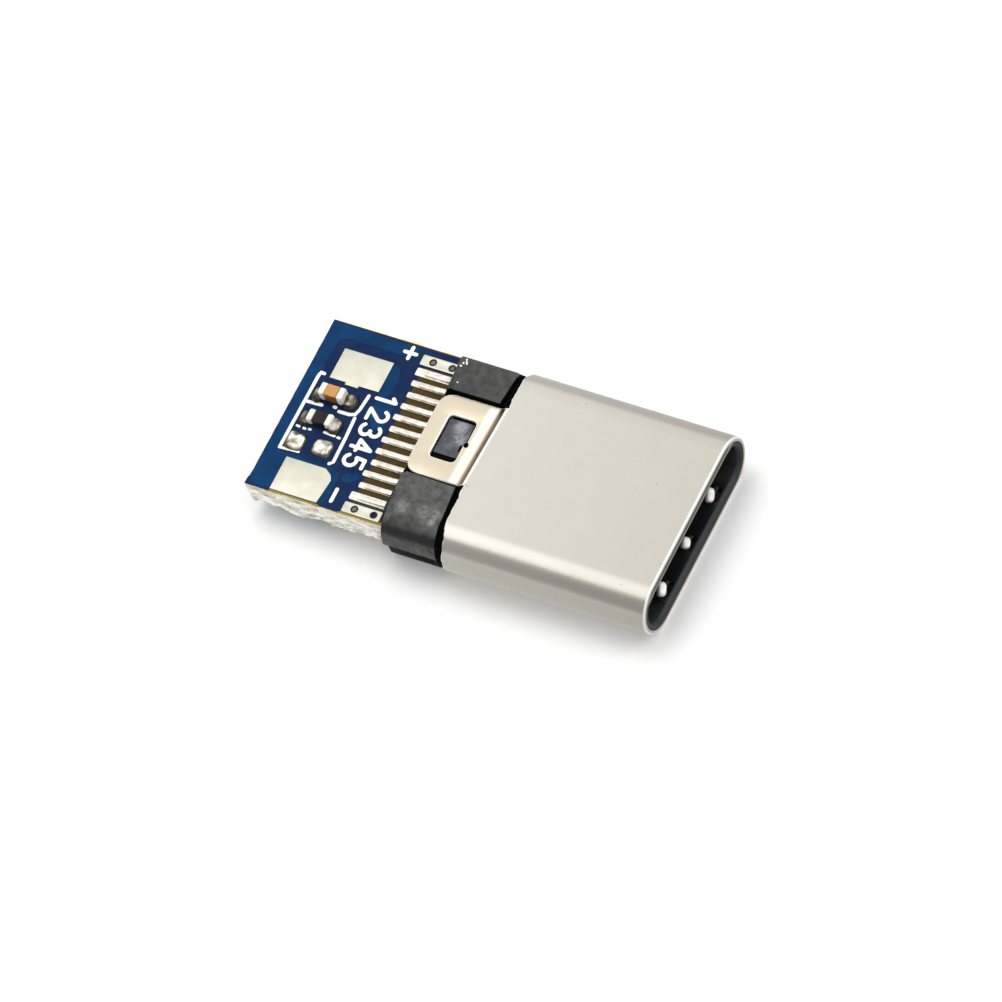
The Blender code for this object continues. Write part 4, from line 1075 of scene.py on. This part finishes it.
# Pen strokes of plain digits, in a box 0.68 wide and 1 tall
DIGITS = {
    "1": [[(0.16, 0.80), (0.38, 1.0)], [(0.38, 1.0), (0.38, 0.0)]],
    "2": [arc((0.34, 0.71), (0.28, 0.27), 165, -40), [(0.55, 0.54), (0.08, 0.0)], [(0.08, 0.0), (0.66, 0.0)]],
    "3": [arc((0.33, 0.75), (0.27, 0.25), 150, -85), arc((0.33, 0.26), (0.30, 0.26), 85, -150)],
    "4": [[(0.48, 0.0), (0.48, 1.0)], [(0.48, 1.0), (0.04, 0.30)], [(0.04, 0.30), (0.66, 0.30)]],
    "5": [[(0.60, 1.0), (0.14, 1.0)], [(0.14, 1.0), (0.11, 0.56)], arc((0.32, 0.31), (0.31,) * 2, 128, -150)],
}


# The printed frame round the chips: (x, y) along each full line, and along each thinner piece
FRAME_RUNS = (
    ((-7.64, 1.57), (-7.78, 1.58), (-7.82, 1.45), (-7.83, -1.76)),
    ((-5.60, 1.24), (-5.66, 0.60), (-5.74, 0.36), (-5.95, 0.29), (-6.38, 0.29)),
    ((-5.68, 0.22), (-5.63, -0.60), (-5.60, -1.72), (-5.72, -1.82)),
    ((-7.75, 0.31), (-7.12, 0.33)),
    ((-6.64, 0.41), (-6.57, 0.40)),
)
FRAME_PIECES = (
    ((-7.62, -0.74), (-7.52, -0.75)),
    ((-7.33, -0.76), (-7.26, -0.77)),
    ((-7.11, -0.74), (-7.05, -0.74)),
    ((-6.50, -0.68), (-6.06, -0.71)),
    ((-5.92, -0.72), (-5.84, -0.73)),
    ((-7.81, -1.77), (-7.05, -1.73)),
)
PLUS_LINES = (((-4.93, 3.14), (-4.93, 3.62)), ((-5.17, 3.38), (-4.69, 3.38)))
MINUS_LINE = ((-4.93, -3.22), (-4.93, -2.70))
FRAME_WIDTH = 0.13
DIGIT_WIDTH = 0.145


def make_legend(ink):
    """White printed frame of the components, plain numbers along the contact row, and the pads' signs."""
    strokes = [[stroke(line, FRAME_WIDTH)] for line in FRAME_RUNS]
    strokes += [[stroke(line, FRAME_WIDTH * 0.75)] for line in FRAME_PIECES]
    tall, wide = 0.80, 0.74
    for place, digit in enumerate("12345"):
        y = 1.28 - 0.68 * place
        for line in DIGITS[digit]:
            strokes.append([stroke([(-5.28 + v * tall, y + 0.25 - u * wide) for u, v in line], DIGIT_WIDTH)])
    strokes += [[stroke(line, DIGIT_WIDTH)] for line in (*PLUS_LINES, MINUS_LINE)]
    layered("printed_legend", strokes, BOARD_FACE + 0.009, 0.008, ink, rise=0.0003)


def make_pads(tin, dark, plug):
    """Levelled pads, and the plated holes in the ground pads: a dark ring round a dull plug of solder, and a
    dark disc of painted shade partway down the open hole.
    """
    nodes = ["supply_pad_positive", "supply_pad_negative"]
    nodes += [f"ground_pad_{face}_{side}" for face in ("upper", "lower") for side in ("far", "near")]
    for node in nodes:
        show(node + "_fine", rounded_solid(node, 0.015), tin, "levelled_solder", node)
    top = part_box("ground_pad_upper_far")[1].z / MM
    rims = [[ring_points(at, HOLE_RIM), ring_points(at, PLATED_HOLE)] for at in via_places()]
    rings = [filled(rim, BOARD_FACE, top + 0.004) for rim in rims]
    show("hole_rims", finish_mesh("hole_rims", joined(rings)), dark, "levelled_solder")
    open_hole = max(via_places(), key=lambda at: at[0] - at[1])
    plugged = [at for at in via_places() if at != open_hole]
    plugs = [filled([ring_points(at, PLATED_HOLE)], BOARD_FACE, top - 0.01) for at in plugged]
    # A dark disc partway down the open hole: painted shade
    bottom = filled([ring_points(open_hole, PLATED_HOLE)], BOARD_UNDERSIDE + 0.1, BOARD_UNDERSIDE + 0.2)
    show("painted_shade_in_hole", finish_mesh("painted_shade_in_hole", bottom), dark, "levelled_solder")
    show("hole_plugs", finish_mesh("hole_plugs", joined(plugs)), plug, "levelled_solder")


def land_outline(y, width, tip_x):
    """A land with a blunt, rounded tip."""
    half = width / 2
    return round_corners(rectangle(tip_x, y - half, BLOCK_REAR_X + 0.02, y + half), 0.07, 4)


def make_lands(tin):
    """Tinned lands under the contact tails; the outer two are ground lands, wider and a little longer."""
    whole = []
    ys = contact_ys()
    for i, y in enumerate(ys):
        outer = i in (0, len(ys) - 1)
        tip = -4.27 + 0.05 * math.sin(i * 2.4)
        if outer:
            tip = -4.36 + 0.04 * noise.noise(Vector((i * 1.7, 0, 0)))
        width = 0.33 if outer else 0.235
        outline, levels = land_outline(y, width, tip), (BOARD_FACE - 0.001, BOARD_FACE + 0.030)
        whole += [filled([outline], *levels), turned_under(filled([outline], *levels))]
    show("lands", finish_mesh("lands", joined(whole)), tin, "board_mask")


def solder_mound(centre, size, height, power, seed):
    """Solder that has set over a small pad: a low, rounded, slightly uneven mound."""
    rings, spokes = 9, 28
    bm = bmesh.new()
    loops = []
    for ring in range(1, rings + 1):
        t = ring / rings
        loop = []
        for spoke in range(spokes):
            a = 2 * math.pi * spoke / spokes
            round_off = (abs(math.cos(a)) ** power + abs(math.sin(a)) ** power) ** (-1 / power)
            u, v = t * round_off * math.cos(a), t * round_off * math.sin(a)
            x, y = centre[0] + u * size[0] / 2, centre[1] + v * size[1] / 2
            uneven = 1 + 0.28 * noise.noise(Vector((x * 5, y * 5, seed)))
            z = BOARD_FACE + height * math.sqrt(max(0.0, 1 - t**2.4)) * uneven
            loop.append(bm.verts.new((x, y, z)))
        loops.append(loop)
    peak = bm.verts.new((centre[0], centre[1], BOARD_FACE + height))
    for i in range(spokes):
        j = (i + 1) % spokes
        bm.faces.new((peak, loops[0][i], loops[0][j]))
        for inner, outer in zip(loops, loops[1:]):
            bm.faces.new((inner[i], outer[i], outer[j], inner[j]))
    base = bm.faces.new(loops[-1][::-1])
    bmesh.ops.triangulate(bm, faces=[base])
    to_metres(bm)
    return bm


def end_cap(node, edge):
    """The fired metal end of a chip: a block whose edges are rounded by this much all round."""
    low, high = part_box(node)
    bm = bmesh.new()
    bmesh.ops.create_cube(bm, size=1.0)
    middle = (low + high) / 2
    for vert in bm.verts:
        vert.co = Vector([middle[i] + vert.co[i] * (high - low)[i] for i in range(3)])
    bevel_edges(bm, list(bm.edges), edge, 3)
    return finish_mesh(node + "_fine", bm, 75)


def make_chips(ceramic, glaze, cap_metal, solder, pale_solder):
    bodies = (("capacitor_body", ceramic, "capacitor_ceramic"), ("resistor_body", glaze, "resistor_glaze"))
    for node, finish, slot in bodies:
        show(node + "_fine", rounded_solid(node, 0.02), finish, slot, node)
    for chip, edge in (("capacitor", 0.055), ("resistor", 0.07)):
        for side in ("rear", "front"):
            node = f"{chip}_end_{side}"
            show(node + "_fine", end_cap(node, edge), cap_metal, "tinned_contact", node)
    mounds = (
        ("capacitor", "rear", (-7.41, 0.67), (0.42, 0.66), 0.27, solder),
        ("capacitor", "front", (-6.15, 0.77), (0.66, 0.66), 0.25, solder),
        ("resistor", "rear", (-7.42, -0.37), (0.46, 0.62), 0.25, solder),
        ("resistor", "front", (-6.22, -0.34), (0.58, 0.70), 0.24, solder),
        ("empty", "rear", (-7.36, -1.36), (0.78, 0.78), 0.20, pale_solder),
        ("empty", "front", (-6.26, -1.32), (0.80, 0.74), 0.18, pale_solder),
    )
    for seed, (place, side, centre, size, height, finish) in enumerate(mounds):
        name = f"solder_{place}_{side}"
        mound = solder_mound(centre, size, height, 4.5 if place == "empty" else 2.6, seed * 3.1)
        show(name + "_fine", finish_mesh(name, mound, 70), finish, "bright_solder", name)


# Studio

FLOOR_LIFT = 0.05


def studio_material(name, mesh):
    """Puts a bare material on a piece of the studio and gives back its node tree."""
    material = bpy.data.materials.new(name)
    material.use_nodes = True
    mesh.materials.append(material)
    tree = material.node_tree
    tree.nodes.remove(tree.nodes["Principled BSDF"])
    return tree


def sheet_mesh(name, across, up):
    bm = bmesh.new()
    bmesh.ops.create_grid(bm, x_segments=1, y_segments=1, size=0.5)
    bmesh.ops.scale(bm, verts=bm.verts, vec=(across, up, 1))
    return finish_mesh(name, bm)


def set_facing(thing, place, direction):
    thing.location = place
    thing.rotation_mode = "QUATERNION"
    thing.rotation_quaternion = Vector(direction).to_track_quat("Z", "Y")


def make_floor():
    """Matt white paper sweep. Camera and mirror rays see it a little brighter, so that it comes out white."""
    mesh = sheet_mesh("paper", 3.0, 3.0)
    placed("paper", mesh)
    tree = studio_material("matt white paper", mesh)
    place = add(tree, "TexCoord", out="Object")
    fibre = add(tree, "TexNoise", {"Vector": place, "Scale": 1 / (0.5 * MM), "Detail": 3.0})
    tone = add(tree, "Mix", {"Factor": fibre, "A": "#E6E6E6", "B": "#EAEAEA"})
    paper = add(tree, "BsdfDiffuse", {"Color": tone})
    seen = add(tree, "LightPath", out="Is Camera Ray")
    for kind in ("Glossy", "Transmission"):
        other = add(tree, "LightPath", out=f"Is {kind} Ray")
        seen = add(tree, "Math", {"Value": seen, "Value_001": other}, operation="MAXIMUM")
    glow = add(tree, "Emission", {"Color": "#FFFFFF", "Strength": FLOOR_LIFT})
    none = add(tree, "Emission", {"Color": "#000000", "Strength": 0.0})
    lift = add(tree, "MixShader", {"Fac": seen, "Shader": none, "Shader_001": glow})
    both = add(tree, "AddShader", {"Shader": paper, "Shader_001": lift})
    feed(tree.nodes["Material Output"], {"Surface": both})


def make_card(name, centre, size_across, size_up, facing, strength):
    """A studio card that only mirror-like surfaces show: dim ones give metal its dark lines."""
    mesh = sheet_mesh(name, size_across, size_up)
    card = placed(name, mesh)
    set_facing(card, centre, facing)
    card.visible_camera = False
    card.visible_diffuse = False
    card.visible_shadow = False
    tree = studio_material(name, mesh)
    glow = add(tree, "Emission", {"Color": "#FFFFFF", "Strength": strength})
    feed(tree.nodes["Material Output"], {"Surface": glow})


def make_light(name, place, target, size, radiance, mirrored=True):
    """A square softbox; its power follows from the brightness wanted of its face."""
    data = bpy.data.lights.new(name, "AREA")
    data.shape = "RECTANGLE"
    data.size, data.size_y = size
    data.energy = radiance * math.pi * size[0] * size[1]
    lamp = placed(name, data)
    set_facing(lamp, place, Vector(place) - Vector(target))
    lamp.visible_glossy = mirrored


def make_world(diffuse_strength, seen_strength):
    """An even white tent: full strength where it is seen or mirrored, less as a light."""
    world = bpy.data.worlds.new("tent")
    bpy.context.scene.world = world
    world.use_nodes = True
    tree = world.node_tree
    as_light = add(tree, "LightPath", out="Is Diffuse Ray")
    strength = add(tree, "MapRange", {"Value": as_light, "To Min": seen_strength, "To Max": diffuse_strength})
    feed(tree.nodes["Background"], {"Color": "#FFFFFF", "Strength": strength})


def make_studio():
    make_floor()
    make_world(0.78, 1.0)
    centre = (0, 0, 0.001)
    make_light("key_softbox", (-0.175, 0.205, 0.50), centre, (0.36, 0.36), 3.7, mirrored=False)
    make_light("near_softbox", (-0.29, -0.08, 0.60), centre, (0.50, 0.56), 0.55)
    make_light("mouth_softbox", (0.46, 0.26, 0.40), centre, (0.50, 0.40), 1.9)
    make_card("near_flag", (-0.2, -0.55, 0.54), 1.6, 0.98, (0, 1, 0), 0.40)
    make_card("far_flag", (-0.2, 0.60, 0.09), 1.6, 0.18, (0, -1, 0), 0.62)
    make_card("floor_card", (-0.2, 0.0, 0.00001), 1.6, 1.3, (0, 0, 1), 0.66)
    make_card("left_flag", (-0.60, 0.10, 0.09), 1.2, 0.18, (1, 0, 0), 0.35)


def make_camera():
    """The photograph's viewpoint: a long lens from the near side, in front of the mouth and high up.

    Its place and its axes were fitted to the shell's and the board's corners in the photograph.
    """
    data = bpy.data.cameras.new("photograph")
    data.lens = 349.2
    data.sensor_width = 36.0
    data.clip_start = 0.01
    data.clip_end = 10.0
    camera = placed("photograph", data)
    right = Vector((0.87090, 0.43360, -0.23134))
    up = Vector((-0.27091, 0.81632, 0.51013))
    back = Vector((0.41004, -0.38160, 0.82840))
    axes = Matrix((right, up, back)).transposed().to_4x4()
    camera.matrix_world = Matrix.Translation((0.144439, -0.134578, 0.291250)) @ axes
    bpy.context.scene.camera = camera


def main():
    steel = drawn_stainless()
    wing_tones, far_tones = ("#3A3A39", "#5A5A58"), ("#343434", "#4A4A49")
    # The block's skin: painted paler in patches, with painted shade along the near shoulder and below the
    # middle
    worn = moulded_lcp("moulded black LCP", wing_tones, far_tones, "#83837F", WING_PALE_PATCHES, 0.9)
    boss_tones = ("#3E3F44", "#56575F")
    boss = moulded_lcp("moulded black LCP of the boss", boss_tones, boss_tones, "#8A8B92", BOSS_PALE_PATCHES, 0.0)
    # Near-black painted as shade in the block's gaps
    gap_shade_black = dull_solid("LCP painted black as shade in the gaps", "#050505", "#0B0B0C", 0.7, 0.1, 0.02)
    dark = cavity_lcp()
    tin = metal("matt tin on copper alloy", "#E4DDCE", "#FFFDF6", 0.36, 0.22, 0.003)
    pad_tin = metal("hot-air levelled solder", "#DFDCCB", "#EAE8D8", 0.42, 0.6, 0.003)
    # Both solders carry painted highlights and painted dark reflections in their colour
    solder = set_solder("reflowed solder beside the chips", "#5A5448", "#D0CAC0", 0.38, 0.60)
    pale_solder = set_solder("reflowed solder on the empty pads", "#77705E", "#FFFAF0", 0.32, 0.56)
    spring = metal("spring steel", "#E2E0DC", "#F4F3F0", 0.22, 0.3, 0.002)
    # Spring steel painted dark as shade in the mouth
    spring_in_shade = metal("spring steel painted dark as shade in the mouth", "#232221", "#32302E", 0.5, 0.3, 0.002)
    # Crest steel painted white as a highlight
    crest_highlight_steel = metal("rubbed crests of spring steel", "#F4F3F0", "#FFFFFF", 0.75, 0.2, 0.001)
    # The chip ends' near-white is partly their pale tin and partly a painted highlight
    cap_tin = dull_solid("fired tin of the chip ends", "#CFCBC0", "#F2EFE6", 0.40, 0.14, 0.5)
    laminate = glass_epoxy()
    mask = solder_mask("blue mask over laminate", "#081F46", "#0E274C")
    copper_mask = solder_mask("blue mask over copper", "#002C53", "#003660")
    ink = dull_solid("white epoxy ink", "#E6E7DF", "#F6F7EF", 0.6, 0.08)
    # The capacitor's sides are painted darker than its top: painted shade
    ceramic = shaded_ceramic("tan capacitor ceramic", "#BE8A52", "#8A5A18", 0.5, 0.10)
    glaze = shaded_ceramic("black resistor glaze", "#12100F", "#2E2412", 0.35, 0.10)
    hole_rim_and_shade = dull_solid("tarnished plating of the holes", "#0E0E0C", "#26261F", 0.5, 0.05)
    hole_plug = dull_solid("dull solder in the holes", "#5A594F", "#77756A", 0.5, 0.05)
    make_shell(steel, highlight_edge_steel())
    make_rear_housing(worn, gap_shade_black, boss)
    make_front_housing(dark)
    make_flakes(ink)
    make_contacts(tin)
    make_springs(spring_in_shade, spring, crest_highlight_steel)
    make_board(laminate)
    make_fibres(torn_glass())
    make_mask(mask, copper_mask)
    make_lands(tin)
    make_pads(pad_tin, hole_rim_and_shade, hole_plug)
    make_chips(ceramic, glaze, cap_tin, solder, pale_solder)
    make_legend(ink)
    make_studio()
    make_camera()
    bpy.context.scene.view_settings.view_transform = "Standard"


main()
